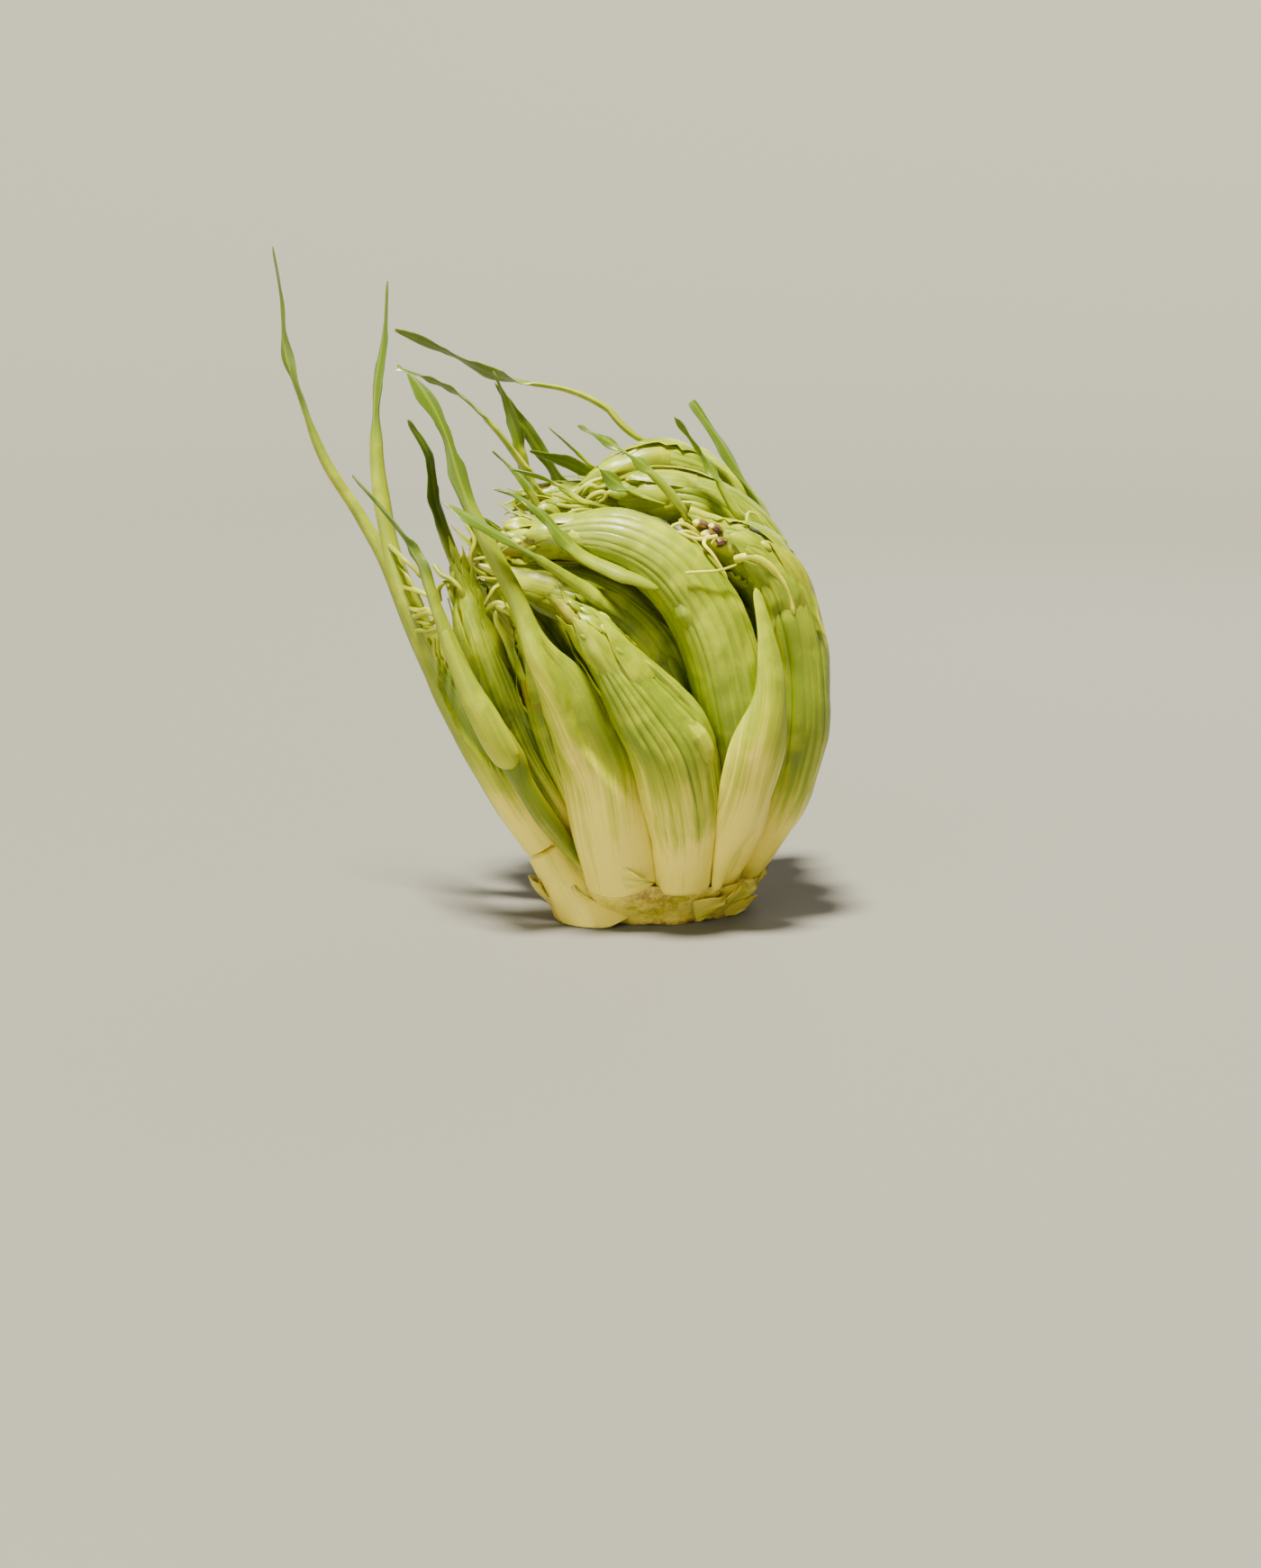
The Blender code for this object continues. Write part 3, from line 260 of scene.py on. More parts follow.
# Raised scars and long loose bracts on a shoot: shape, height of the foot, direction, length, half width, lifts
# and tones
LYING = {
    "shoot_front_spear": [
        ("strap", 46, (0.8, -0.6, 0), 12, 3.4, [-0.7, 0.8, 0.8, -0.7], {"greenness": 0.55, "papery": 0.2}),
        ("strap", 55, (0.95, -0.3, 0), 26, 1.2, [-0.7, 0.6, 0.6, -0.7], {"greenness": 0.9, "papery": 0.1})],
    "shoot_left_spear": [
        ("bract", low, direction, long, half, [-0.5, 0.7, 1.0, flare], {"greenness": 0.95, "papery": 0.1})
        for low, direction, long, half, flare in (
            (64, (-0.7, -0.7, 0), 25, 3.0, 1.6), (69, (0.7, -0.7, 0), 22, 3.2, 2.6), (72, (0, -1, 0), 24, 3.4, 1.8),
            (78, (-0.9, -0.4, 0), 18, 2.4, 2.8), (80, (0.8, -0.5, 0), 17, 2.4, 3.2),
            (82, (-0.2, -1, 0), 17, 2.4, 2.0))],
}

# Thickness, sides and rings of what lies on a shoot
LYING_BUILD = {"clasp": (0.8, (128, 60)), "strap": (0.5, (48, 30)), "bract": (0.8, (24, 24))}

# Large flower buds: middle, direction, length, half thickness and tones
BUDS = {
    "shoot_middle": [
        ((-33.6, -19.6, 106.8), (-0.9, -0.2, 0.25), 9.0, 3.0, {"greenness": 0.8, "dots": 1}),
        ((-26.2, -15.5, 110.2), (-0.8, -0.1, 0.6), 7.5, 2.3, {"greenness": 0.9}),
        ((-37.0, -15.0, 104.5), (-1, -0.1, 0.2), 6.0, 1.8, {"greenness": 0.8})],
    "shoot_right": [
        ((13.4, -24.2, 108.6), (-1, -0.2, 0.35), 5.0, 1.35, {"browning": 1, "pale_tip": 1}),
        ((15.4, -25.2, 106.2), (-1, -0.2, 0.1), 4.6, 1.3, {"browning": 1, "pale_tip": 1}),
        ((18.0, -25.6, 104.4), (-1, -0.3, -0.15), 4.6, 1.3, {"browning": 1, "pale_tip": 1}),
        ((17.0, -24.2, 107.6), (-0.9, -0.1, 0.4), 4.2, 1.2, {"browning": 1, "pale_tip": 1}),
        ((10.5, -21.5, 108.5), (-1, 0, 0.3), 6.0, 1.6, {"greenness": 0.7})],
    "shoot_front_spear": [
        ((-7.5, -43.5, 77.5), (-0.7, -0.1, 0.7), 7.0, 1.7, {"greenness": 0.95}),
        ((-10.5, -42.0, 82.0), (-0.7, -0.1, 0.7), 7.0, 1.6, {"greenness": 0.9}),
        ((-14.0, -42.5, 84.0), (-0.7, 0, 0.7), 6.5, 1.4, {"greenness": 0.95}),
        ((-15.5, -40.5, 87.0), (-0.8, 0, 0.6), 6.0, 1.2, {"greenness": 1.0}),
        ((-19.0, -40.0, 88.5), (-0.7, 0, 0.7), 5.5, 1.1, {"greenness": 1.0})],
}

# Share of a shoot's length at which the bracts of its tip start, and how much farther its buds do
BRACTS_FROM = {
    **dict.fromkeys(SHOOTS, 0.66), "shoot_great_arch": 0.82, "shoot_inner_arch": 0.86, "shoot_top_arch": 0.76,
    "shoot_crest": 0.74, "shoot_left_spear": 0.72}
BUDS_AFTER = 0.12

# Torn ends of outer leaves round the crown: bearing in degrees, height of the tip, half width, lean outwards
TORN_ENDS = [
    (-40, 12, 6.5, 0.5), (-6, 14, 6.5, 1.0), (30, 11, 6, 0.8),
    (66, 13, 6.5, 1.0), (102, 12, 6, 0.8), (136, 13, 6.5, 1.0), (170, 15, 6, 1.0)]

# Thin twigs, lobes and threads of each piece: half thickness, greenness, then points
TWIGS = {
    "leaf_left_stalk": [
        (0.75, 1.0, [(-65.1, -19, 91.8), (-61.6, -25, 91.7), (-59.5, -27, 91.1), (-57.6, -28, 90.3)]),
        (0.8, 1.0, [(-63.8, -19, 86.4), (-60.4, -26, 86.4), (-58.6, -28, 87.0), (-57.1, -29, 85.9)]),
        (0.7, 1.0, [(-62.3, -19, 84.3), (-61.5, -27, 85.1), (-58.5, -29, 86.2), (-55.8, -30, 85.5)]),
        (0.6, 1.1, [(-61, -19, 82), (-60.9, -27, 83.9), (-58.3, -29, 83.3), (-56.3, -28, 84.0), (-57.5, -27, 84.6)]),
        (0.65, 1.0, [(-61, -19, 80.5), (-61.1, -27, 81.5), (-57.7, -29, 81.7), (-54.7, -30, 82.7)]),
        (0.6, 0.9, [(-58.5, -20, 77), (-58.7, -28, 80.2), (-57.0, -29, 81.2), (-54.5, -30, 82.0)]),
        (0.45, 0.8, [(-56.0, -21, 73.5), (-56.8, -27, 75.5), (-56.8, -28, 79.5)]),
        (0.45, 0.8, [(-54.5, -21, 72.5), (-55.7, -27, 75), (-55.9, -28, 79.7)]),
        (0.5, 1.1, [(-52.5, -22, 70), (-54.1, -28, 73.1), (-53.1, -29, 75.4), (-52.3, -29, 77.5)]),
        (0.6, 1.8, [(-69.5, -15, 102.5), (-64.6, -22, 99.2), (-61.7, -23, 96.5), (-60.6, -23, 94.6)]),
        (0.5, 1.8, [(-68, -15, 98.5), (-64.2, -22, 95.2), (-61.7, -24, 91.2), (-59.6, -25, 87.0)])],
    "shoot_left_spear": [
        (0.65, 1.3, [(-56.7, -26, 98.3), (-54.6, -28, 96.1), (-52.0, -29, 95.0), (-49.8, -30, 93.0), (-48.0, -29, 89)]),
        (0.6, 1.3, [(-55.3, -27, 89), (-55.6, -27, 91.8), (-54.7, -28, 93.5), (-53.5, -28, 94.2), (-50, -28, 93)]),
        (0.8, 1.2, [(-50, -27, 86), (-52.2, -28, 91.4), (-51.7, -27, 94.4), (-50.9, -25, 98.5)]),
        (0.8, 1.2, [(-49.5, -26, 91), (-51.5, -27, 95.3), (-50.6, -26, 98.1), (-49.4, -25, 101.0)])],
    "shoot_inner_arch": [
        (0.6, 1.3, [
            (-40, -23, 94), (-46.5, -26, 97.5), (-47.2, -26, 100.6), (-46.1, -25, 104.3), (-47.3, -24, 107.0),
            (-48.6, -24, 108.9)]),
        (0.5, 1.5, [(-36, -23.5, 97), (-40.8, -27, 100.0), (-43.3, -28, 100.5), (-46.4, -28, 100.1)]),
        (0.45, 1.4, [(-38, -25, 94.5), (-42.4, -29, 95.2), (-45.0, -29, 95.7)]),
        (0.6, 1.2, [(-37, -26, 93.5), (-40.6, -29, 92.9), (-41.9, -30, 91.1), (-43.8, -30, 87.9)])],
    "shoot_bud": [
        (0.9, 1.1, [(-33, -34, 82), (-36, -33, 87), (-39.9, -32, 89.2), (-43.1, -31, 87.3)]),
        (1.0, 1.1, [(-32.5, -34, 80), (-33.8, -34.5, 85.2), (-37.0, -34, 87.3), (-40.4, -33, 88.6)]),
        (0.9, 1.1, [(-35, -34, 73), (-37.6, -34, 79.6), (-38.7, -34, 81.9), (-40.1, -34, 84.5), (-40.4, -33, 87.4)])],
    "shoot_top_arch": [
        (0.9, 0.9, [
            (-10, -9, 111), (-16.8, -11, 113.0), (-16.0, -12, 114.7), (-13.9, -12, 115.9), (-12.2, -12, 115.9),
            (-12.4, -12, 114.5), (-14.4, -12, 113.3)]),
        (0.75, 1.0, [
            (-18.2, -10, 115.8), (-16.1, -10, 117.7), (-13.9, -10, 117.0), (-12.2, -9, 117.5), (-10, -7, 118)]),
        (0.75, 1.0, [
            (-14, -7, 113), (-19.7, -10, 114.9), (-18.2, -10, 117.0), (-15.8, -9, 118.6), (-12.0, -8, 119.8)])],
    "shoot_great_arch": [
        (0.55, 1.2, [(-20.6, -21, 115.5), (-23.1, -21.5, 118.2), (-26.4, -22, 119.4)]),
        (0.55, 1.2, [(-18.6, -21, 114.3), (-22.4, -22, 115.4), (-26.0, -22.5, 116.6)]),
        (0.55, 1.2, [(-16.6, -21, 113.3), (-21.2, -22, 113.3), (-24.8, -22.5, 113.9)]),
        (0.5, 1.2, [(-15.6, -21, 112.4), (-19.3, -22, 112.4), (-22.4, -22.5, 111.3)]),
        (0.5, 1.2, [(-14.4, -21, 111.8), (-17.6, -22, 111.4), (-19.3, -22.5, 109.9)]),
        (0.4, 0.6, [(8.5, -39, 97.9), (12.0, -38.5, 98.1), (17.0, -37, 98.3), (22, -31, 99.1)])],
    "shoot_right": [
        (0.5, 0.5, [(14, -24, 105.4), (8.2, -26, 109.2), (5.5, -26.5, 108.6), (5.0, -26.5, 107.2)]),
        (0.5, 0.5, [(14, -24, 104.6), (9, -26.5, 107.2), (6.3, -27, 106.3), (6.0, -27, 104.9)]),
        (0.5, 0.4, [(17, -27, 106), (11.7, -29, 105.6), (6.5, -29.5, 107.5)]),
        (0.45, 0.2, [(15, -26, 106.5), (13.5, -30, 104.4), (15.5, -31, 102.1), (17.8, -31, 98.6), (19.6, -30.5, 95.6)]),
        (0.5, 1.4, [(26, -24, 101.5), (25.5, -18, 111.2), (27.2, -17.5, 111.0), (29.7, -18, 108.1)]),
        (1.3, 0.6, [
            (9.9, -20, 112), (13.9, -20, 110.5), (18, -20, 109.2), (21.3, -20, 107.4), (26.1, -19, 105.8),
            (30.2, -18, 103.5)]),
        (1.1, 0.5, [
            (21.8, -25, 99.8), (24.2, -26, 100.5), (27.4, -26, 100.2), (30.5, -26, 98.4), (33.4, -25.5, 95),
            (35.9, -25, 91), (37.4, -25, 85.1)])],
}

# Lights: name, kind, place in metres, angle or size, strength and colour
LIGHTS = (
    ("key", "SUN", (-0.09, -0.145, 0.74), math.radians(11), 17.0, (1.0, 0.955, 0.66)),
    ("fill", "AREA", (-0.55, -0.7, 0.3), 0.5, 3.8, (1.0, 0.95, 0.76)),
    ("rim", "AREA", (0.3, 0.7, 0.5), 0.5, 2.0, (1.0, 0.95, 0.82)))
LIT_POINT = (0, 0, 0.07)
WORLD_COLOUR, WORLD_STRENGTH = (0.86, 0.82, 0.6, 1), 0.12
# The camera looks down at the aim by so many degrees, from so many metres
AIM, CAMERA_DOWN, CAMERA_AWAY = (-0.0055, 0, 0.0345), 12, 0.65
LENS, SENSOR = 53.8, 36
# The floor's width in metres, and how far from the middle and how steeply it curves up
FLOOR_WIDTH, FLAT_TO, FLOOR_RISE = 6, 1.5, 0.28

# Names of the point attributes, and of the colours, that the finishes read
TONES = ("greenness", "groove", "papery", "browning", "leafy")
HUES = ("cream", "pale_green", "yellow", "groove", "leaf", "papery", "brown", "purple")

# Tubes that were made once, and what the first operator lays out for the others
TUBES = {}
HEAD = {}


def unit(vectors):
    """Each row of an array made one long."""
    return vectors / np.maximum(np.linalg.norm(vectors, axis=-1, keepdims=True), 1e-9)


def xyz(x, y, z):
    """Three arrays or numbers as one array of rows."""
    return np.stack(np.broadcast_arrays(x, y, z), axis=-1)


def ease(values, low, high):
    """0 below low, 1 above high, and a smooth step between."""
    s = np.clip((np.asarray(values, float) - low) / (high - low), 0, 1)
    return s * s * (3 - 2 * s)


def ripple(points, size, seed):
    """Smooth uneven values, mostly from -1 to 1, that change over about size millimetres."""
    draw = np.random.default_rng(seed)
    waves = draw.normal(size=(7, 3)) * 2.2 / size
    phases = draw.uniform(0, 2 * math.pi, 7)
    return np.sin(points @ waves.T + phases).sum(-1) / 3


def smooth_rows(rows):
    """A smooth curve through the rows, as evenly spaced rows."""
    rows = np.array(rows, float)
    chords = np.linalg.norm(np.diff(rows[:, :3], axis=0), axis=1)
    knots = np.concatenate([[0], np.cumsum(np.sqrt(chords))])
    slopes = np.gradient(rows, knots, axis=0)
    at = np.linspace(0, knots[-1], 6 * STATIONS)
    i = np.clip(np.searchsorted(knots, at, side="right") - 1, 0, len(rows) - 2)
    h = (knots[i + 1] - knots[i])[:, None]
    s = (at - knots[i])[:, None] / h
    curve = (
        (2 * s**3 - 3 * s**2 + 1) * rows[i] + (s**3 - 2 * s**2 + s) * h * slopes[i]
        + (3 * s**2 - 2 * s**3) * rows[i + 1] + (s**3 - s**2) * h * slopes[i + 1])
    run = np.concatenate([[0], np.cumsum(np.linalg.norm(np.diff(curve[:, :3], axis=0), axis=1))])
    even = np.linspace(0, run[-1], STATIONS)
    return np.stack([np.interp(even, run, column) for column in curve.T], axis=1)


class Stalk:
    """A stem or leaf: a line with an oval section that changes along it, pressed in by its neighbours."""

    def __init__(self, rows, facing=None, curl=None):
        self.facing = facing
        self.curl = curl
        self.keep = None
        self.set_rows(smooth_rows(rows))

    def set_rows(self, fine):
        """Takes the line and the section's sizes at every station, and works out which way each faces."""
        self.line = fine[:, :3]
        self.wide = np.maximum(fine[:, 3], 0.3)
        self.deep = np.maximum(fine[:, 4], 0.3)
        self.length = np.linalg.norm(np.diff(self.line, axis=0), axis=1).sum()
        self.along = unit(np.gradient(self.line, axis=0))
        away = self.line - HEART if self.facing is None else np.tile(self.facing, (len(self.line), 1))
        away = away - (away * self.along).sum(1)[:, None] * self.along
        self.out = unit(away)
        self.across = np.cross(self.along, self.out)
        self.cup = self.wide**2 / (2 * self.curl) if self.curl else 0 * self.wide

    def at(self, t):
        """Line point, along, out, across, half width, half depth and cup at shares t of the length."""
        where = np.clip(np.asarray(t, float), 0, 1) * (STATIONS - 1)
        i = np.minimum(where.astype(int), STATIONS - 2)
        f = where - i

        def between(values):
            share = f if values.ndim == 1 else f[..., None]
            return values[i] * (1 - share) + values[i + 1] * share

        return [between(v) for v in (self.line, self.along, self.out, self.across, self.wide, self.deep, self.cup)]

    def kept(self, t, angle):
        """The share of its radius that the pressed skin keeps."""
        if self.keep is None:
            return np.ones(np.broadcast(t, angle).shape)
        row = np.clip(t, 0, 1) * (PRESS_STATIONS - 1)
        i = np.minimum(row.astype(int), PRESS_STATIONS - 2)
        column = (angle / (2 * math.pi) % 1) * PRESS_SIDES
        j = column.astype(int) % PRESS_SIDES
        k = (j + 1) % PRESS_SIDES
        f, g = row - i, column - column.astype(int)
        keep = self.keep
        return ((keep[i, j] * (1 - g) + keep[i, k] * g) * (1 - f)
                + (keep[i + 1, j] * (1 - g) + keep[i + 1, k] * g) * f)

    def surface(self, t, angle, share=None, lift=0.0, widen=1.0, deepen=1.0, twist=0.0):
        """Points at shares t of the length and angles round the section; 90 degrees faces out."""
        t, angle = np.broadcast_arrays(np.asarray(t, float), np.asarray(angle, float))
        line, along, out, across, wide, deep, cup = self.at(t)
        share = self.kept(t, angle) if share is None else share
        side = (wide * share * widen + lift) * np.cos(angle)
        front = (deep * share * deepen + lift) * np.sin(angle) - cup * (np.cos(angle) * share) ** 2
        side, front = (side * np.cos(twist) - front * np.sin(twist), side * np.sin(twist) + front * np.cos(twist))
        beyond = np.maximum(t - 1, 0) * self.length
        return line + across * side[..., None] + out * front[..., None] + along * beyond[..., None]

    def height(self, z):
        """The share of the length at which the line first reaches a height."""
        return float(np.argmax(self.line[:, 2] >= z)) / (STATIONS - 1)

    def length_between(self, low, high):
        """Length of the line between two heights."""
        return (self.height(high) - self.height(low)) * self.length

    def side(self, t, direction):
        """The angle round the section that faces a direction."""
        out, across = self.at(np.array([t]))[2:4]
        return math.atan2(float(out[0] @ direction), float(across[0] @ direction))

    def clearance(self, points):
        """Rough distance of points outside this stalk's skin, negative inside, and the way out."""
        offsets = points[:, None, :] - self.line[None, :, :]
        nearest = np.argmin((offsets**2).sum(2), axis=1)
        offset = offsets[np.arange(len(points)), nearest]
        side = (offset * self.across[nearest]).sum(1)
        front = (offset * self.out[nearest]).sum(1)
        ahead = (offset * self.along[nearest]).sum(1)
        front = front + self.cup[nearest] * np.minimum((side / self.wide[nearest]) ** 2, 1.5)
        radial = np.hypot(side, front)
        reach = np.hypot(side / self.wide[nearest], front / self.deep[nearest])
        skin = radial * (1 - 1 / np.maximum(reach, 1e-6))
        skin = np.where(reach < 1e-6, -self.deep[nearest], skin)
        past_end = np.abs(ahead) > self.length / STATIONS
        skin = np.where(past_end, np.hypot(np.maximum(skin, 0), ahead), skin)
        way_out = unit(side[:, None] * self.across[nearest] + front[:, None] * self.out[nearest])
        return skin, way_out

    def near(self, other):
        """Whether another stalk comes near enough to touch this one."""
        margin = 3.0
        low = self.line.min(0) - self.wide.max() - margin
        high = self.line.max(0) + self.wide.max() + margin
        return bool((other.line.min(0) - other.wide.max() < high).all() and
                    (other.line.max(0) + other.wide.max() > low).all())

    def press(self, others, gap):
        """Takes the skin back until it shares the room with its neighbours, a gap apart."""
        least_kept, halvings, smoothings = 0.12, 8, 2
        t, angle = np.meshgrid(
            np.linspace(0, 1, PRESS_STATIONS), np.arange(PRESS_SIDES) * 2 * math.pi / PRESS_SIDES, indexing="ij")
        low, high = np.full(t.shape, least_kept), np.ones(t.shape)
        wide, deep = self.at(t)[4:6]
        radius = np.hypot(wide * np.cos(angle), deep * np.sin(angle))
        near = [other for other in others if other is not self and self.near(other)]
        for _ in range(halvings):
            middle = (low + high) / 2
            points = self.surface(t, angle, middle).reshape(-1, 3)
            room = np.full(len(points), np.inf)
            for other in near:
                room = np.minimum(room, other.clearance(points)[0])
            fits = ((middle - 1) * radius + gap <= room.reshape(t.shape))
            low, high = np.where(fits, middle, low), np.where(fits, high, middle)
        keep = np.where(high > 0.99, 1.0, low)
        for _ in range(smoothings):
            keep = keep / 2 + (np.roll(keep, 1, 1) + np.roll(keep, -1, 1)) / 4
            keep[1:-1] = keep[1:-1] / 2 + (keep[:-2] + keep[2:]) / 4
        self.keep = keep

    def bend_clear(self, others, own):
        """Moves a thin stalk's line off the skins that it would cross; its first stations stay rooted."""
        rooted, freed_over, rounds, clearance = 4, 6, 30, 0.9
        free = np.clip((np.arange(STATIONS) - rooted) / freed_over, 0, 1)[:, None]
        for _ in range(rounds):
            line = self.line.copy()
            for other in others:
                if self.near(other):
                    skin, way_out = other.clearance(line)
                    push = np.maximum(clearance + np.minimum(self.deep * 1.2, self.wide) - skin, 0)
                    line = line + way_out * push[:, None] * free * (0.4 if other is own else 0.6)
            line[1:-1] = line[1:-1] * 0.7 + (line[:-2] + line[2:]) * 0.15
            self.set_rows(np.column_stack([line, self.wide, self.deep]))

    def root_on(self, parent):
        """Draws a leaf's foot down to the skin that it grows from."""
        drawn_stations, above_skin, farthest = 14, 0.4, 12
        skin, way_out = parent.clearance(self.line)
        free = np.clip(1 - np.arange(STATIONS) / drawn_stations, 0, 1) ** 0.7
        line = self.line - way_out * (np.clip(skin - above_skin, 0, farthest) * free)[:, None]
        self.set_rows(np.column_stack([line, self.wide, self.deep]))


def tube(sides, rings):
    """An upright closed tube of one unit, cut into rings: its mesh, and each point's share and angle."""
    if (sides, rings) not in TUBES:
        bpy.ops.object.select_all(action="DESELECT")
        bpy.ops.mesh.primitive_cylinder_add(vertices=sides, radius=1, depth=1, end_fill_type="NGON")
        made = bpy.context.active_object
        bpy.ops.object.mode_set(mode="EDIT")
        bpy.ops.mesh.select_mode(type="EDGE")
        bpy.ops.mesh.select_all(action="DESELECT")
        bm = bmesh.from_edit_mesh(made.data)
        for edge in bm.edges:
            edge.select_set(abs(edge.verts[0].co.z - edge.verts[1].co.z) > 0.5)
        bmesh.update_edit_mesh(made.data)
        bpy.ops.mesh.subdivide(number_cuts=rings - 2)
        bpy.ops.object.mode_set(mode="OBJECT")
        mesh = made.data
        if len(mesh.vertices) != sides * rings:
            raise RuntimeError("the tube has %d points" % len(mesh.vertices))
        at = np.empty(len(mesh.vertices) * 3)
        mesh.vertices.foreach_get("co", at)
        at = at.reshape(-1, 3)
        angle = np.arctan2(at[:, 1], at[:, 0]) % (2 * math.pi)
        TUBES[sides, rings] = (mesh, np.clip(at[:, 2] + 0.5, 0, 1), angle)
        bpy.data.objects.remove(made)
        mesh.use_fake_user = True
    return TUBES[sides, rings]


def bent(mesh, points, fibre, tones):
    """An object with its own copy of a mesh, its points moved, and what its finish reads."""
    mesh = mesh.copy()
    mesh.vertices.foreach_set("co", (points * MM).ravel())
    mesh.attributes.new("fibre", "FLOAT_VECTOR", "POINT").data.foreach_set("vector", fibre.ravel())
    for name in TONES:
        values = np.broadcast_to(np.asarray(tones.get(name, 0.0), float), len(points)).astype(np.float32)
        mesh.attributes.new(name, "FLOAT", "POINT").data.foreach_set("value", values)
    mesh.update()
    made = bpy.data.objects.new("part", mesh)
    bpy.context.scene.collection.objects.link(made)
    return made


def whole(name, parts, node, finish):
    """Joins the parts of one piece, hangs it from the root body, and hides the model's part for the node it stands for.
    """
    bpy.ops.object.select_all(action="DESELECT")
    for part in parts:
        part.select_set(True)
    bpy.context.view_layer.objects.active = parts[0]
    if len(parts) > 1:
        bpy.ops.object.join()
    piece = parts[0]
    piece.name = name
    piece.data.name = name
    bpy.ops.object.shade_smooth_by_angle(angle=SMOOTH_UP_TO)
    piece.data.materials.append(finish)
    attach(piece, "root")
    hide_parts(node)


def tip_round(stalk, t, foot, tip, foot_share):
    """How much of its section a body keeps near its two rounded ends; foot and tip in millimetres."""
    end = np.clip((t * stalk.length - stalk.length + tip) / tip, 0, 1)
    start = np.clip(1 - t * stalk.length / foot, 0, 1)
    return np.sqrt(1 - (0.96 * end) ** 2) * np.sqrt(1 - (foot_share * start) ** 2)


def seated(stalk, t, points):
    """Lets a foot down into the crown, over its lowest few millimetres."""
    let_down_over = 5
    points[:, 2] -= (BASE - FOOT) * np.clip(1 - t * stalk.length / let_down_over, 0, 1)
    points[:, 2] = np.maximum(points[:, 2], FOOT)
    return points


def skin_green(points, seed):
    """How green a shoot's skin is: cream where soil and outer leaves kept the light off, green above."""
    return ease(points[:, 2] + 5 * ripple(points, 20, seed), *SHOOT_GREEN)


class Ribbing:
    """The uneven ribs of one shoot, which its skin and the broad bracts on it both follow."""

    count = 24
    groove_half_width = 0.3

    def __init__(self, stalk, seed, sizes):
        draw = random.Random(seed)
        self.stalk, self.seed, self.sizes = stalk, seed, sizes
        gaps = np.array([draw.uniform(0.55, 1.45) for _ in range(self.count)])
        self.starts = np.concatenate([[0], np.cumsum(gaps)]) * 2 * math.pi / gaps.sum()
        self.turn = draw.uniform(0, 6)
        self.twist = draw.uniform(-0.25, 0.25)
        self.strength = np.array([draw.uniform(0.3, 1.0) ** 1.5 for _ in range(self.count)])
        self.begins = np.array([draw.uniform(0.1, 0.35) for _ in range(self.count)])
        self.ends = np.array([draw.uniform(0.8, 1.05) for _ in range(self.count)])
        self.paleness = np.array([draw.uniform(0.0, 1.0) for _ in range(self.count)])

    def angle(self, k, within, t):
        """The angle at a share of the way across rib k."""
        return self.starts[k] + (self.starts[k + 1] - self.starts[k]) * within + self.turn + self.twist * t

    def relief(self, t, angle):
        """Height of the skin in millimetres, how deep in a groove each point is, and how pale its rib is."""
        wide, deep = self.stalk.at(t)[4:6]
        radius = (wide + deep) / 2
        turned = (angle - self.turn - self.twist * t) % (2 * math.pi)
        k = np.clip(np.searchsorted(self.starts, turned, side="right") - 1, 0, self.count - 1)
        width = self.starts[k + 1] - self.starts[k]
        within = (turned - self.starts[k]) / width

        def line(which, distance):
            there = ease(t, self.begins[which], self.begins[which] + 0.15)
            there = there * (1 - ease(t, self.ends[which] - 0.1, self.ends[which]))
            return self.strength[which] * there * np.exp(-(distance / self.groove_half_width) ** 2)

        groove = line(k, within * width * radius) + line((k + 1) % self.count, (1 - within) * width * radius)
        swell = np.sin(math.pi * within) * ease(t, 0.05, 0.25) * np.minimum(width * radius / 4, 1)
        relief = (self.sizes.rib_swell * swell - self.sizes.rib_depth * groove) / MM
        pale = self.paleness[k] * np.sin(math.pi * within) ** 2 * ease(t, 0.2, 0.5) * (1 - ease(groove, 0, 0.3))
        return relief * np.clip(radius / 5, 0.1, 1), np.clip(groove, 0, 1), pale


def shoot_body(stalk):
    """A fat stem with sharp grooves at uneven distances and softly rounded ribs between them."""
    ribs, seed = stalk.ribbing, stalk.ribbing.seed
    per_rib = 6
    sides = per_rib * ribs.count
    mesh, t, turn = tube(sides, SHOOT_RINGS)
    column = np.rint(turn / (2 * math.pi) * sides).astype(int) % sides
    k, f = column // per_rib, column % per_rib / per_rib
    angle = ribs.angle(k, f - 0.13 * np.sin(2 * math.pi * f), t)
    base = stalk.surface(t, angle)
    relief, groove, pale = ribs.relief(t, angle)
    wide, deep = stalk.at(t)[4:6]
    radius = (wide + deep) / 2
    relief = relief + (0.35 * ripple(base, 15, seed) + 0.12 * ripple(base, 5, seed + 1)) * np.clip(radius / 5, 0.1, 1)
    share = stalk.kept(t, angle) * tip_round(stalk, t, 3.5, 2.5, 0.55)
    points = seated(stalk, t, stalk.surface(t, angle, share, lift=relief))
    fibre = xyz(radius * np.cos(angle), radius * np.sin(angle), 0.02 * t * stalk.length)
    cream_to = SHOOT_GREEN[0]
    return bent(mesh, points, fibre, {
        "greenness": skin_green(base, seed + 2),
        "groove": groove * ease(base[:, 2], cream_to + 6, cream_to + 26),
        "browning": np.clip(ripple(base, 26, seed + 3) - 0.85, 0, 1) * ease(t, 0.55, 0.8),
        "papery": 0.35 * pale * ease(base[:, 2], 50, 85)})


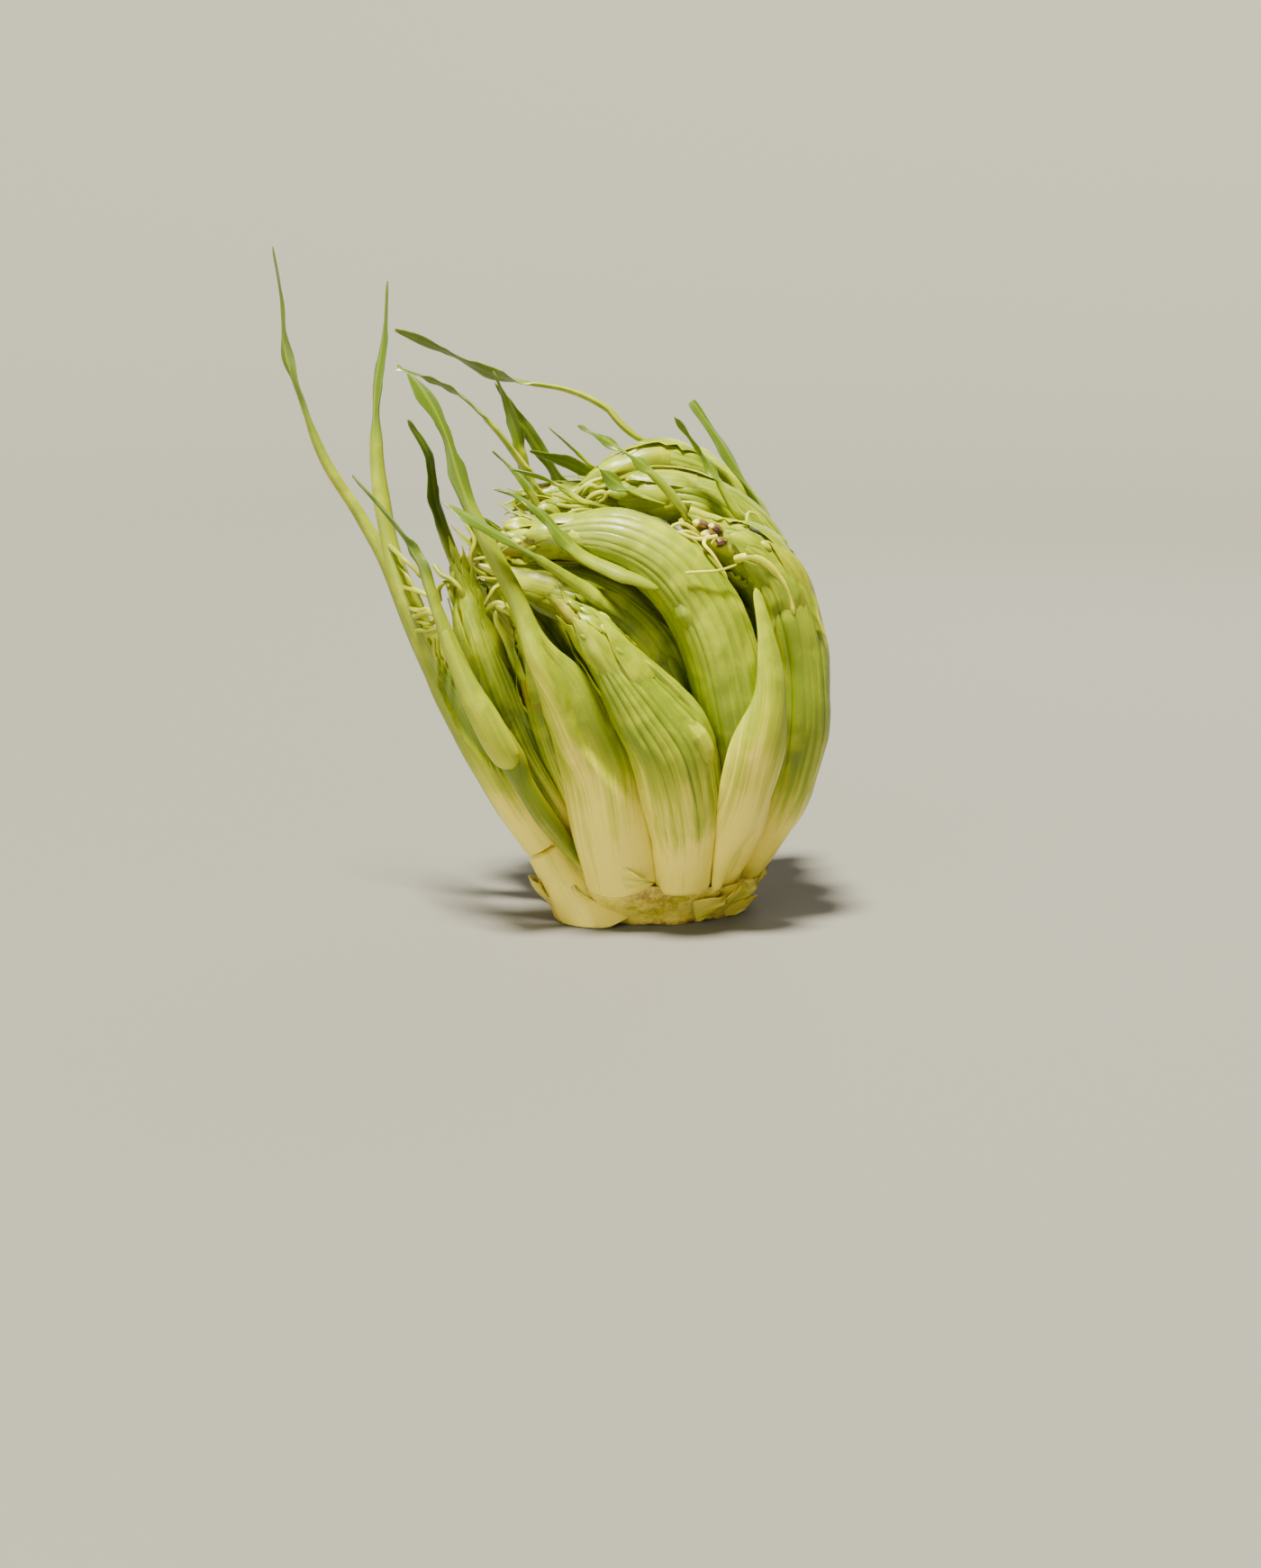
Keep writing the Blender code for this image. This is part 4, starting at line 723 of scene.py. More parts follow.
def outline_of(shape, s, c):
    """Half width of a small leaf, as a share, at s along it and c across it."""
    if shape == "bract":
        return 1.5 * (s + 0.12) ** 0.3 * (1 - 0.985 * s) ** 0.8
    if shape == "clasp":
        return (1 - 0.985 * s) ** 0.6 * (1 - 0.12 * np.exp(-((s - 0.12) / 0.06) ** 2))
    if shape == "neck":
        return 1 - 0.5 * ease(s, 0.1, 1.0)
    if shape == "toothed":
        teeth = ((s * 4 + (c > 0) * 0.4) % 1) ** 1.4
        return (0.55 + 0.55 * teeth * np.sin(math.pi * s)) * (1 - 0.96 * s**3)
    return np.sqrt(np.clip(1 - 0.985 * s**5, 0, 1)) * (0.75 + 0.25 * s)


def cling(stalk, t0, angle0, long, half, lifts, tones, shape, thick, grid):
    """A small leaf that lies on a stem: rooted at t0 and angle0, lifted off along its length."""
    mesh, s, a = tube(*grid)
    c, up = np.cos(a), np.sin(a)
    clasp = shape == "clasp"
    outline = outline_of(shape, s, c)
    t = t0 + s * long / stalk.length
    wild = ripple(xyz(c * half, s * long, 0), 6, int(1000 * t0) + int(angle0 * 10))
    if clasp:
        t = t - (3 * np.abs(c) ** 3 + 1.2 * wild) / stalk.length * np.clip(1 - 4 * s, 0, 1)
    wide, deep = stalk.at(t)[4:6]
    lift = np.interp(s, np.linspace(0, 1, len(lifts)), lifts)
    if clasp:
        # The middle of its foot grows out of the stem, and its two ears stand off
        lift = lift - (lift + 1.0) * (1 - ease(np.abs(c), 0.35, 0.95)) * (1 - ease(s, 0.05, 0.35))
        outline = outline * (1 + 0.05 * wild)
    widest_reach = 1.45
    radius = np.maximum((wide + deep) / 2 + lift, 1.0)
    reach = np.minimum(half * outline / radius, widest_reach)
    edge = np.sqrt(np.maximum(1 - c**2, 0.03))
    keel = (0.35 * (1 - np.abs(c)) + 0.3 * c**4) * np.sin(math.pi * s) + 0.2 * wild
    if shape in ("neck", "strap"):
        lift = lift - 0.9 * ease(np.abs(c), 0.5, 1.0)
    raised = lift + keel + thick / 2 * up / np.maximum(np.abs(up), 0.05) * edge * (1 - 0.6 * s)
    angle = angle0 + c * reach
    values = {"papery": 0, "leafy": 0, **tones}
    if clasp:
        # The ribs of the stem go on over it
        ribs, veins, _ = stalk.ribbing.relief(t, angle)
        raised = raised + ribs * (up > 0) * ease(s, 0.02, 0.2)
        veins = veins * ease(s, 0.05, 0.25)
    else:
        veins = np.exp(-((np.abs(c) * 2.4 % 1 - 0.5) / 0.13) ** 2) * (np.abs(c) < 0.9)
    points = stalk.surface(t, angle, lift=raised)
    if clasp:
        values["greenness"] = skin_green(points, stalk.ribbing.seed + 2) * tones["greenness"]
        values["papery"] = values["papery"] + 0.9 * ease(np.abs(c), 0.75, 0.95) * (1 - ease(s, 0.05, 0.2))
    rim = 0.3 * np.abs(c) ** 10 + (0.2 * (1 - s) ** 8 if shape in ("bract", "toothed") else 0)
    values["groove"] = np.clip(0.55 * veins * ease(s, 0.02, 0.2), 0, 1)
    values["papery"] = np.clip(values["papery"] + rim, 0, 1)
    values["leafy"] = values["leafy"] * s
    if shape == "strap":
        # A raised mark is palest in its middle and fades into the skin
        fade = np.clip(1.3 * np.sin(math.pi * s) * (1 - c**2), 0, 1)
        values["papery"], values["greenness"] = values["papery"] * fade, 1 - (1 - values["greenness"]) * fade
    fibre = xyz(half * c * outline, angle0, 0.1 * s * long)
    return bent(mesh, points, fibre, values)


def tip_bracts(stalk, seed, count, start):
    """Overlapping bracts round the end of a shoot, smaller and steeper towards its tip."""
    draw = random.Random(seed)
    turn = draw.uniform(0, 6)
    end, toothed_share = 0.965, 0.3
    made = []
    for n in range(count):
        share = n / (count - 1)
        t0 = start + (end - start) * share**0.85
        radius = float(np.mean(stalk.at(t0)[4:6]))
        long = draw.uniform(10, 19) * (1.1 - 0.4 * share)
        half = np.clip(radius * draw.uniform(0.5, 0.8), 0.9, 4.4)
        flare = draw.uniform(0.6, 2.6)
        tones = {"greenness": draw.uniform(0.75, 1.15), "papery": max(0, draw.uniform(-0.25, 0.2)),
                 "browning": max(0, draw.uniform(-1.2, 0.5)), "leafy": draw.uniform(0, 0.4)}
        shape = "toothed" if draw.random() < toothed_share else "bract"
        made.append(cling(stalk, t0, turn + n * GOLDEN_ANGLE, long, half, [-0.4, 0.45, 0.9, flare], tones, shape,
                          thick=0.7, grid=BRACT_GRID))
    return made


def bud(centre, axis, long, fat, tones):
    """One closed flower bud with four sepals, finer if it is large."""
    mesh, s, a = tube(*(LARGE_BUD_GRID if long > 6 else BUD_GRID))
    axis = unit(np.array(axis, float))
    side = unit(np.cross(axis, (0.3, 0.2, 1)))
    other = np.cross(axis, side)
    sepals = np.cos(4 * a + 1.5 * s)
    bulge = fat * np.sin(math.pi * np.clip(s * 0.94 + 0.03, 0, 1)) ** 0.6 * (1 + 0.12 * sepals)
    points = (np.array(centre) + np.outer((s - 0.4) * long, axis)
              + np.outer(bulge * np.cos(a), side) + np.outer(bulge * np.sin(a), other))
    fibre = xyz(bulge * np.cos(a), bulge * np.sin(a), 0.2 * s)
    # Where it wilts, its tip stays pale; where it opens, brown dots show
    pale_tip = tones.get("pale_tip", 0) * ease(s, 0.66, 0.8)
    dots = tones.get("dots", 0) * ease(ripple(points, 1.3, 9), 0.8, 1.1)
    return bent(mesh, points, fibre, {
        "greenness": tones.get("greenness", 0.8), "groove": 0.45 * (sepals < -0.6), "papery": pale_tip,
        "browning": tones.get("browning", 0) * (1 - pale_tip) + dots})


def buds(stalk, seed, count, start):
    """Small lumpy flower buds pressed between the bracts of a tip."""
    draw = random.Random(seed)
    sunk = -0.5
    made = []
    for _ in range(count):
        t0, turn = draw.uniform(start, 1.0), draw.uniform(0, 2 * math.pi)
        centre = stalk.surface(np.array([t0]), np.array([turn]), lift=sunk)[0]
        axis = stalk.at(np.array([t0]))[1][0] + 0.25 * np.array([draw.uniform(-1, 1) for _ in range(3)])
        tones = {"greenness": draw.uniform(0.6, 0.95), "browning": draw.choice((0, 0, 0, 0.5))}
        made.append(bud(centre, axis, draw.uniform(4.0, 6.5), draw.uniform(1.2, 1.9), tones))
    return made


def leaf_foot(stalk, blade):
    """The thin sheath by which a small leaf grows out of a shoot."""
    root = blade.line[2]
    nearest = int(np.argmin(((stalk.line - root) ** 2).sum(1)))
    t1 = nearest / (STATIONS - 1)
    offset = root - stalk.line[nearest]
    angle = stalk.side(t1, offset)
    wide, deep = stalk.wide[nearest], stalk.deep[nearest]
    height = float(np.linalg.norm(offset)) - math.hypot(wide * math.cos(angle), deep * math.sin(angle))
    half = 2.0 * float(blade.wide[3])
    long, past_root = 18.0, 2
    return cling(stalk, t1 - (long - past_root) / stalk.length, angle, long, half, [-0.9, 0.2, 0.4 * height, height],
                 {"greenness": 0.9}, "neck", thick=1.0, grid=LEAF_FOOT_GRID)


def lobes_of(along, c, blade_long, every, draw):
    """How far the lobes of a blade stand out from its two edges, each lobe at a drawn place."""
    bumps = 0 * along
    count = int(blade_long / every)
    for side in (-1, 1):
        for n in range(count):
            middle = (n + draw.uniform(0.1, 0.9)) / count
            long = draw.uniform(1.2, 2.8) / blade_long
            # Steep towards the tip and drawn out towards the foot, as a tooth of the leaf is
            gap = (along - middle) / np.where(along > middle, long * 0.7, long * 1.6)
            bumps = bumps + draw.uniform(0.2, 1.0) * np.exp(-gap**2) * (c * side > 0)
    return bumps


def leaf_body(stalk, seed, blade_start=0.72, sides=32, rings=100, green=(20, 60), dark_from=0.45, lobe_every=9.0,
              ribs=5, seat=True, round_foot=2.0, round_tip=2.5, foot_share=0.8, leafy=1.0, narrow=1.0, turn=1.0,
              wavy=1.0, wedge=0.0, painted_shade_below=0.0, stained=0.0, relief_of=None):
    """A leaf: a sheath with faint ribs, a stalk, and a thin ribbon of a blade with a few lobes.

    blade_start and dark_from are shares of its length, green is the heights between which it turns green, and
    relief_of shapes its broad side and gives the shade painted on it; below a given height a leaf can be painted olive,
    as shade. A wedge is a foot that starts thin, over so many millimetres.
    """
    draw = random.Random(seed)
    mesh, t, angle = tube(sides, rings)
    # More than half of the rings go to the lobed blade
    t = np.interp(t, (0, 0.45, 1), (0, min(blade_start, 0.5), 1)) if blade_start < 1 else t
    base = stalk.surface(t, angle)
    wide, deep = stalk.at(t)[4:6]
    c, s = np.cos(angle), np.sin(angle)
    along = np.clip((t - blade_start) / max(1 - blade_start, 1e-6), 0, 1)
    blade = ease(t, blade_start, blade_start + 0.06)
    blade_long = max((1 - blade_start) * stalk.length, 1)
    bumps = lobes_of(along, c, blade_long, lobe_every, draw)
    edge = np.abs(c) ** 0.6
    uneven = ripple(xyz(3 * np.sign(c), along * blade_long, 0), 9, seed + 7)
    widen = 1 + blade * (bumps * 0.6 * (1 - along**3) + wavy * 0.22 * uneven) * edge
    widen = widen * (1 - (1 - narrow) * ease(t, 0.45, 0.7))
    twist = turn * blade * along * draw.uniform(-1.3, 1.3)
    lines = np.exp(-((np.abs(c) * ribs % 1 - 0.5) / 0.14) ** 2) * (s > 0) * (np.abs(c) < 0.93)
    lines = lines * (1 - 0.7 * ease(t, 0.4, 0.65))
    relief = 0.18 * ripple(base, 13, seed) - 0.12 * lines * ease(t, 0.05, 0.2)
    vein = 0.7 * blade * np.exp(-(c / 0.2) ** 2)
    wave = 0.8 * wavy * blade * ripple(xyz(0, along * blade_long, 0), 7, seed + 8) * c
    share = stalk.kept(t, angle) * tip_round(stalk, t, round_foot, round_tip, foot_share)
    if wedge:
        share = share * np.clip(t * stalk.length / wedge, 0.08, 1) ** 0.75
    lift = relief * np.clip(deep / 2, 0.1, 1) + 0.22 * vein * s
    # The darker values are painted shade, laid on with the groove colour
    greener = painted_shade = sunk = painted_olive_shade = 0 * t
    if relief_of is not None:
        added, sunk, greener, painted_shade = relief_of(base, c, s, wide)
        lift = lift + added
    # Below that height the leaf is narrowed, and painted darker, greener and browner: olive shade on its lower part
    if painted_shade_below:
        below = 1 - ease(base[:, 2], painted_shade_below - 6, painted_shade_below + 2)
        widen = widen * (1 - 0.3 * below)
        painted_shade = painted_shade + 1.4 * below * ease(base[:, 2], 10, 20)
        greener = greener + 0.4 * below
        painted_olive_shade = below * ease(base[:, 2], 14, 26)
    points = stalk.surface(t, angle, share, lift=lift, widen=widen, deepen=1 - 0.4 * blade, twist=twist)
    points = points + stalk.at(t)[2] * (wave - sunk)[:, None]
    if seat:
        points = seated(stalk, t, points)
    points[:, 2] = np.maximum(points[:, 2], LOWEST)
    stain = (0.3 + 0.7 * ease(-c, -0.2, 0.9)) * (1 - 0.7 * ease(base[:, 2], 4, 14))
    fibre = xyz(wide * c, 0, 0.02 * t * stalk.length)
    return bent(mesh, points, fibre, {
        "greenness": ease(base[:, 2] + 4 * ripple(base, 18, seed + 1), *green) + greener,
        "groove": np.clip(0.4 * lines * ease(t, 0.06, 0.2) + 0.3 * blade * (s < 0) + painted_shade, 0, 1),
        "browning": 0.2 * np.clip(painted_olive_shade, 0, 1) + stained * stain,
        "leafy": leafy * (ease(t, dark_from, 1) * 0.55 + 0.4 * blade) * (1 - 0.6 * vein),
        "papery": 0.4 * np.abs(c) ** 10 * (1 - ease(t, 0.3, 0.5)) + 0.12 * vein})


def raised_stalk(points, c, s, wide):
    """The front leaf's stalk is a rod along its left edge, and beside it lies a thin green wing.

    A relief gives the height to add, the depth to sink, how much greener the skin is, and how much shade is painted on
    it. Here the crease beside the rod is painted darker as shade, and the greener wing is painted a little darker, also
    as shade.
    """
    z = points[:, 2]
    front = s > -0.2
    there = ease(z, 34, 44) * (1 - ease(z, 74, 84))
    rod_half_width, rod_height, wing_depth = 2.6, 1.6, 2.6
    rod = np.interp(z, (38, 52, 62, 72, 82), (-0.3, -0.5, -0.55, -0.35, 0))
    bump = np.sqrt(np.clip(1 - ((c - rod) * wide / rod_half_width) ** 2, 0, 1))
    bump = bump * ease(z, 38, 54) * (1 - ease(z, 76, 86))
    edge = np.interp(z, (33, 38, 45, 52, 62, 78), (1.05, 0.62, 0.2, -0.12, -0.1, 0.3))
    wing = ease(c - edge, 0.0, 0.2) * there
    crease = np.exp(-((c - edge - 0.05) * wide / 0.9) ** 2) * there
    tint = ease(c - edge + 0.15 * ripple(points, 9, 77), -0.15, 0.75) * ease(z, 28, 60) * (1 - ease(z, 78, 90))
    # The last value is painted shade: darker in the crease beside the rod, and a little darker over the wing
    return (rod_height * front * bump, wing_depth * wing, front * (0.55 * tint - 0.3 * bump),
            front * (0.2 * crease + 0.1 * tint))


def open_trough(points, c, s, wide):
    """The right side of the left stalk is a shallow trough, seen between its margin and the fold, and painted dark
    olive there as shade.
    """
    z = points[:, 2]
    edge = np.interp(z, (40, 46, 54, 66, 76), (1.0, 0.25, -0.15, 0.0, 1.0))
    there = ease(z, 40, 46) * (1 - ease(z, 68, 76)) * (s > -0.2)
    trough = ease(c - edge, 0.0, 0.12) * there
    crease = np.exp(-((c - edge) * wide / 0.45) ** 2) * there
    # The last value is painted shade: the trough is painted darker, and its raised margin is kept clear of dark lines
    return 0.5 * crease - 0.9 * trough, 0 * z, 0 * z, 0.75 * trough * (1 - crease) - 0.3 * crease


RELIEF = {"leaf_front_stalk": raised_stalk, CRACKED_LEAF: open_trough}


def thread(points, half, greenness):
    """A thin twig or lobe through the points, blunt at its free end."""
    rows = [(*p, half * (1 - 0.45 * n / len(points)), half * (0.8 - 0.3 * n / len(points)))
            for n, p in enumerate(points)]
    stalk = Stalk(rows, facing=(0.2, -0.9, 0.4))
    mesh, t, angle = tube(*TWIG_GRID)
    share = tip_round(stalk, t, 1.0, 1.2, 0.5)
    fibre = xyz(half * np.cos(angle), half * np.sin(angle), 0.1 * t * stalk.length)
    return bent(mesh, stalk.surface(t, angle, share), fibre, {
        "greenness": min(greenness, 1), "leafy": 0.5 * max(greenness - 1, 0), "papery": 0.15 + 0.3 * t,
        "groove": 0.35 * (np.cos(angle) < -0.4)})


def twigs_of(node):
    """The twigs and lobes of one piece, made a little thicker than measured."""
    thicker = 1.2
    return [thread(points, thicker * half, green) for half, green, points in TWIGS.get(node, ())]


def cut_edge(bearing):
    """Distance of the cut's edge from the middle; it is set back on the front side."""
    return CUT_RADIUS - 4.2 * ease(-np.sin(bearing), 0.1, 1.0)


def flank(bearing, z):
    """Rough distance of the crown's flank from the middle."""
    return cut_edge(bearing) + (FLANK_RADIUS - cut_edge(bearing)) * ease(z, FLANK_LOW, FLANK_TOP)


def crown_body(feet, seed, roughness):
    """The cut stump: a flat cut, a flank that widens into flutes under the feet, and a sunken top."""
    mesh, s, a = tube(*CROWN_GRID)
    reach = np.zeros(len(a))
    for foot in feet:
        ring = foot.surface(0, np.arange(36) * math.pi / 18, 1.0)
        bearing = np.arctan2(ring[:, 1], ring[:, 0])
        radius = np.hypot(ring[:, 0], ring[:, 1])
        turn = (a[:, None] - bearing[None, :] + math.pi) % (2 * math.pi) - math.pi
        reach = np.maximum(reach, (radius[None, :] - 40 * turn**2).max(1))
    top = np.maximum(reach + 0.3, CUT_RADIUS)
    # Shares of the tube's length at which the cut ends and at which the sunken top starts
    cut_end, top_start = 0.12, 0.72
    up = np.clip((s - cut_end) / (top_start - cut_end), 0, 1)
    inward = np.clip((s - top_start) / (1 - top_start), 0, 1)
    rim = xyz(CUT_RADIUS * np.cos(a), CUT_RADIUS * np.sin(a), 0)
    collar = ease(-np.sin(a), 0.2, 0.8) * (2.3 + 0.9 * ripple(rim, 9, seed + 4))
    z = up * (10.2 + collar * (1 - ease(inward, 0, 0.1))) + 0.5 * np.sin(math.pi * inward)
    r = cut_edge(a) - 0.6 + (top - cut_edge(a)) * ease(z, FLANK_LOW, FLANK_TOP)
    r = r * np.where(s < cut_end, s / cut_end * 0.98 + 0.02, 1) - (r - 6) * inward**1.2
    flat = xyz(r * np.cos(a), r * np.sin(a), z)
    rough = roughness / MM * ease(z, 0.2, 2.5) * (1 - inward)
    crease = 0.9 * ripple(flat * (1, 1, 0.4), 8, seed) + 0.25 * ripple(flat, 3, seed + 1)
    r = r + rough * crease
    edge = 0.5 * ripple(flat, 5, seed + 2) * (s <= cut_end + 0.02) * (s > 0.05)
    r = r + edge - 0.5 * np.exp(-(z / 0.5) ** 2) * (s >= cut_end)
    points = xyz(r * np.cos(a), r * np.sin(a), z)
    brown = 0.3 + 0.3 * np.exp(-(z / 1.2) ** 2) + 0.3 * np.clip(ripple(flat, 9, seed + 3), 0, 1)
    # The recesses of the flank's creases are painted darker with the groove tone, as shade, and their ridges paler with
    # the papery tone
    return bent(mesh, points, 0.4 * flat, {
        "greenness": 0.12 + 0.12 * np.clip(ripple(flat, 14, seed + 5), 0, 1) + 0.06 * ease(z, 5, 10),
        "browning": np.clip(brown, 0, 1), "papery": 0.25 * ease(crease, 0.2, 1.2),
        "groove": 0.2 * ease(-crease, -0.2, 1.2)})


def scrap(bearing, low, long, half, lean, seed, thick=1.2, tilt=0.0, radius=29.0, pointed=0.6, flare=0.0):
    """A torn tongue of leaf base on the flank of the crown, ragged along its upper edge."""
    mesh, s, a = tube(*SCRAP_GRID)
    c, up = np.cos(a), np.sin(a)
    draw = np.random.default_rng(seed)
    ragged = sum(draw.uniform(-0.16, 0.16) * np.sin(c * k * 2.6 + draw.uniform(0, 6)) for k in (1, 2, 3, 5))
    height = s * long * (1 + ragged * s * (1 - pointed) - 0.3 * c**2 * s)
    width = half * (1 - pointed * s**1.3)
    out = lean * s**1.5 - 1.8 * (1 - s) ** 3
    slope = math.radians(tilt)
    spread = math.radians(bearing) + (c * width * math.cos(slope) + height * math.sin(slope)) / radius
    height = height * math.cos(slope) - c * width * math.sin(slope)
    z = np.maximum(low + height, LOWEST)
    out = out + radius - FLANK_RADIUS + flank(spread, z) + flare * height
    out = out + thick / 2 * up * np.sqrt(np.maximum(1 - c**2, 0.04)) * (1 - 0.6 * s)
    wave = 0.5 * np.sin(c * 4 + draw.uniform(0, 6)) * s
    points = xyz((out + wave) * np.cos(spread), (out + wave) * np.sin(spread), z)
    fibre = xyz(c * width, 0, 0.3 * height)
    return bent(mesh, points, fibre, {
        "greenness": 0.1 + 0.15 * s, "papery": 0.3 * s, "browning": 0.24 + 0.3 * s**6, "groove": 0.08})


def add(tree, kind, inputs=(), **settings):
    """Adds a node: an input is given the socket that feeds it or a value of its own, and the rest are settings."""
    node = tree.nodes.new(kind)
    for name, value in settings.items():
        setattr(node, name, value)
    for name, value in dict(inputs).items():
        if isinstance(value, bpy.types.NodeSocket):
            tree.links.new(value, node.inputs[name])
        else:
            node.inputs[name].default_value = value
    return node


def linear(hex_colour):
    """An sRGB hex colour as three linear values."""
    parts = [int(hex_colour[i:i + 2], 16) / 255 for i in (1, 3, 5)]
    return tuple(p / 12.92 if p <= 0.04045 else ((p + 0.055) / 1.055) ** 2.4 for p in parts)


def plant_skin(name, colours, young, roughness, subsurface, coat):
    """Plant skin under a thin natural wax: cream where no light reached it, green where it did."""
    material = bpy.data.materials.new(name)
    material.use_nodes = True
    tree = material.node_tree
    hue = {n: (*getattr(colours, n), 1) for n in HUES}
    tone = {n: add(tree, "ShaderNodeAttribute", attribute_name=n).outputs["Fac"] for n in TONES}
    place = add(tree, "ShaderNodeTexCoord").outputs["Object"]
    grain = add(tree, "ShaderNodeAttribute", attribute_name="fibre").outputs["Vector"]
    # Cloudy patches about 9 mm across, stripes about 2 mm and fibres about 0.5 mm apart, pores of 0.4 mm
    cloud, stripes, fibres, pores = (
        add(tree, "ShaderNodeTexNoise", {"Vector": vector, "Scale": scale, "Detail": detail, "Roughness": rough})
        .outputs["Fac"] for vector, scale, detail, rough in (
            (place, 110.0, 3.0, 0.5), (grain, 0.5, 2.0, 0.5), (grain, 2.0, 3.0, 0.6), (place, 2400.0, 1.0, 0.5)))
    # How green it is, made uneven by the patches, the stripes and the fibres
    green = tone["greenness"]
    for noise, low, high, swing in ((cloud, 0.3, 0.7, 0.12), (stripes, 0.35, 0.65, 0.18), (fibres, 0.3, 0.7, 0.1)):
        uneven = add(tree, "ShaderNodeMapRange", {0: noise, 1: low, 2: high, 3: -swing, 4: swing})
        green = add(tree, "ShaderNodeMath", {0: green, 1: uneven.outputs[0]}).outputs[0]
    # The patches are yellow on the green and cream on the cream
    share = add(tree, "ShaderNodeMapRange", {0: green, 1: 0.2, 2: 0.9}, interpolation_type="SMOOTHSTEP")
    patches = add(tree, "ShaderNodeMix", {0: share.outputs[0], 6: hue["cream"], 7: hue["yellow"]}, data_type="RGBA")
    # The grooves, and the shade painted in their colour, fade out towards the cream foot
    grooved = add(tree, "ShaderNodeMapRange", {0: green, 1: -0.1, 2: 0.5, 3: 0.15, 4: 0.75},
                  interpolation_type="SMOOTHSTEP")
    # Wilted spots are brown along the fibres, and wilted buds purple; this layer also browns the olive shade painted at
    # the foot of the left fold
    share = add(tree, "ShaderNodeMapRange", {0: tone["browning"], 1: 0.75, 2: 0.95})
    wilted = add(tree, "ShaderNodeMix", {0: share.outputs[0], 6: hue["brown"], 7: hue["purple"]}, data_type="RGBA")
    spotted = add(tree, "ShaderNodeMapRange", {0: fibres, 1: 0.3, 2: 0.6, 3: 0.35})
    # Layers from below: what each follows, from where to where, how much of it shows, its colour, what thins it out
    skin = hue["cream"]
    for source, low, high, most, paint, thinned in (
            (green, 0.0, 0.6, 1.0, hue["pale_green"], None),
            (green, 0.4, 1.05, 1.0, (*young, 1), None),
            (cloud, 0.46, 0.72, 0.4, patches.outputs[2], None),
            (tone["groove"], 0.22, 0.95, 1.0, hue["groove"], grooved),
            (tone["leafy"], 0.05, 0.95, 1.0, hue["leaf"], None),
            (tone["papery"], 0.0, 1.0, 0.7, hue["papery"], None),
            (tone["browning"], 0.1, 0.8, 1.0, wilted.outputs[2], spotted)):
        share = add(tree, "ShaderNodeMapRange", {0: source, 1: low, 2: high, 4: most},
                    interpolation_type="SMOOTHSTEP")
        if thinned is not None:
            share = add(tree, "ShaderNodeMath", {0: share.outputs[0], 1: thinned.outputs[0]}, operation="MULTIPLY")
        skin = add(tree, "ShaderNodeMix", {0: share.outputs[0], 6: skin, 7: paint}, data_type="RGBA").outputs[2]
    # The wax is uneven from fibre to fibre, and the papery parts have none
    wax = add(tree, "ShaderNodeMapRange", {0: fibres, 1: 0.3, 2: 0.7, 3: roughness - 0.07, 4: roughness + 0.09})
    wax = add(tree, "ShaderNodeMath", {0: tone["papery"], 1: 0.2, 2: wax.outputs[0]}, operation="MULTIPLY_ADD")
    height = add(tree, "ShaderNodeMath", {0: fibres, 1: 2.0, 2: pores}, operation="MULTIPLY_ADD")
    bump = add(tree, "ShaderNodeBump", {"Strength": 0.35, "Distance": 0.00012, "Height": height.outputs[0]})
    shader = tree.nodes["Principled BSDF"].inputs
    for socket, into in ((skin, "Base Color"), (wax.outputs[0], "Roughness"), (bump.outputs["Normal"], "Normal")):
        tree.links.new(socket, shader[into])
    for into, value in (("Metallic", 0.0), ("IOR", 1.42), ("Subsurface Weight", subsurface),
                        ("Subsurface Radius", (1.0, 0.9, 0.25)), ("Subsurface Scale", 0.0022),
                        ("Coat Weight", coat), ("Coat Roughness", 0.22)):
        shader[into].default_value = value
    return material


def length(name, text, millimetres):
    """A size that a user would change."""
    return bpy.props.FloatProperty(name=name, description=text, default=millimetres * MM, min=0, unit="LENGTH")


def colour(name, text, hex_colour):
    """A colour that a user would change."""
    return bpy.props.FloatVectorProperty(
        name=name, description=text, default=linear(hex_colour), min=0, max=1, size=3, subtype="COLOR")


class HeadSizes(bpy.types.PropertyGroup):
    """Sizes and counts that a user would change"""

    rib_depth: length("Groove depth", "How deep the grooves between the ribs of a shoot are", 0.26)
    rib_swell: length("Rib height", "How far each rib is rounded out", 0.22)
    press_gap: length("Gap", "Gap between shoots that press on each other", 0.3)
    crown_roughness: length("Crown roughness", "How uneven the torn flank of the crown is", 0.6)
    bracts: bpy.props.IntProperty(name="Bracts", description="Bracts on the tip of each shoot", default=16, min=2)
    buds: bpy.props.IntProperty(name="Buds", description="Flower buds on the tip of each shoot", default=7, min=0)


class HeadColours(bpy.types.PropertyGroup):
    """Colours that a user would change"""

    cream: colour("Cream", "Blanched skin at the foot", "#F0DE58")
    pale_green: colour("Pale green", "Skin above the foot", "#A2AA00")
    bright_green: colour("Bright green", "Skin of the sunlit shoots", "#6E8000")
    stalk_green: colour("Stalk green", "Skin of the leaf stalks", "#7C8A04")
    yellow: colour("Yellow", "Patches where the skin is yellow", "#C2CA00")
    # Also the colour of the shade painted on the leaf stalks and in the crown's creases
    groove: colour("Groove", "Lines between the ribs", "#566C00")
    leaf: colour("Leaf green", "Blades of the thin leaves", "#4A6212")
    papery: colour("Papery", "Dry, thin margins", "#D6CC30")
    brown: colour("Brown", "Wilted spots", "#7A4C1C")
    purple: colour("Purple", "Wilted flower buds", "#4A1430")
    floor: colour("Floor", "The surface it stands on", "#6E6D70")


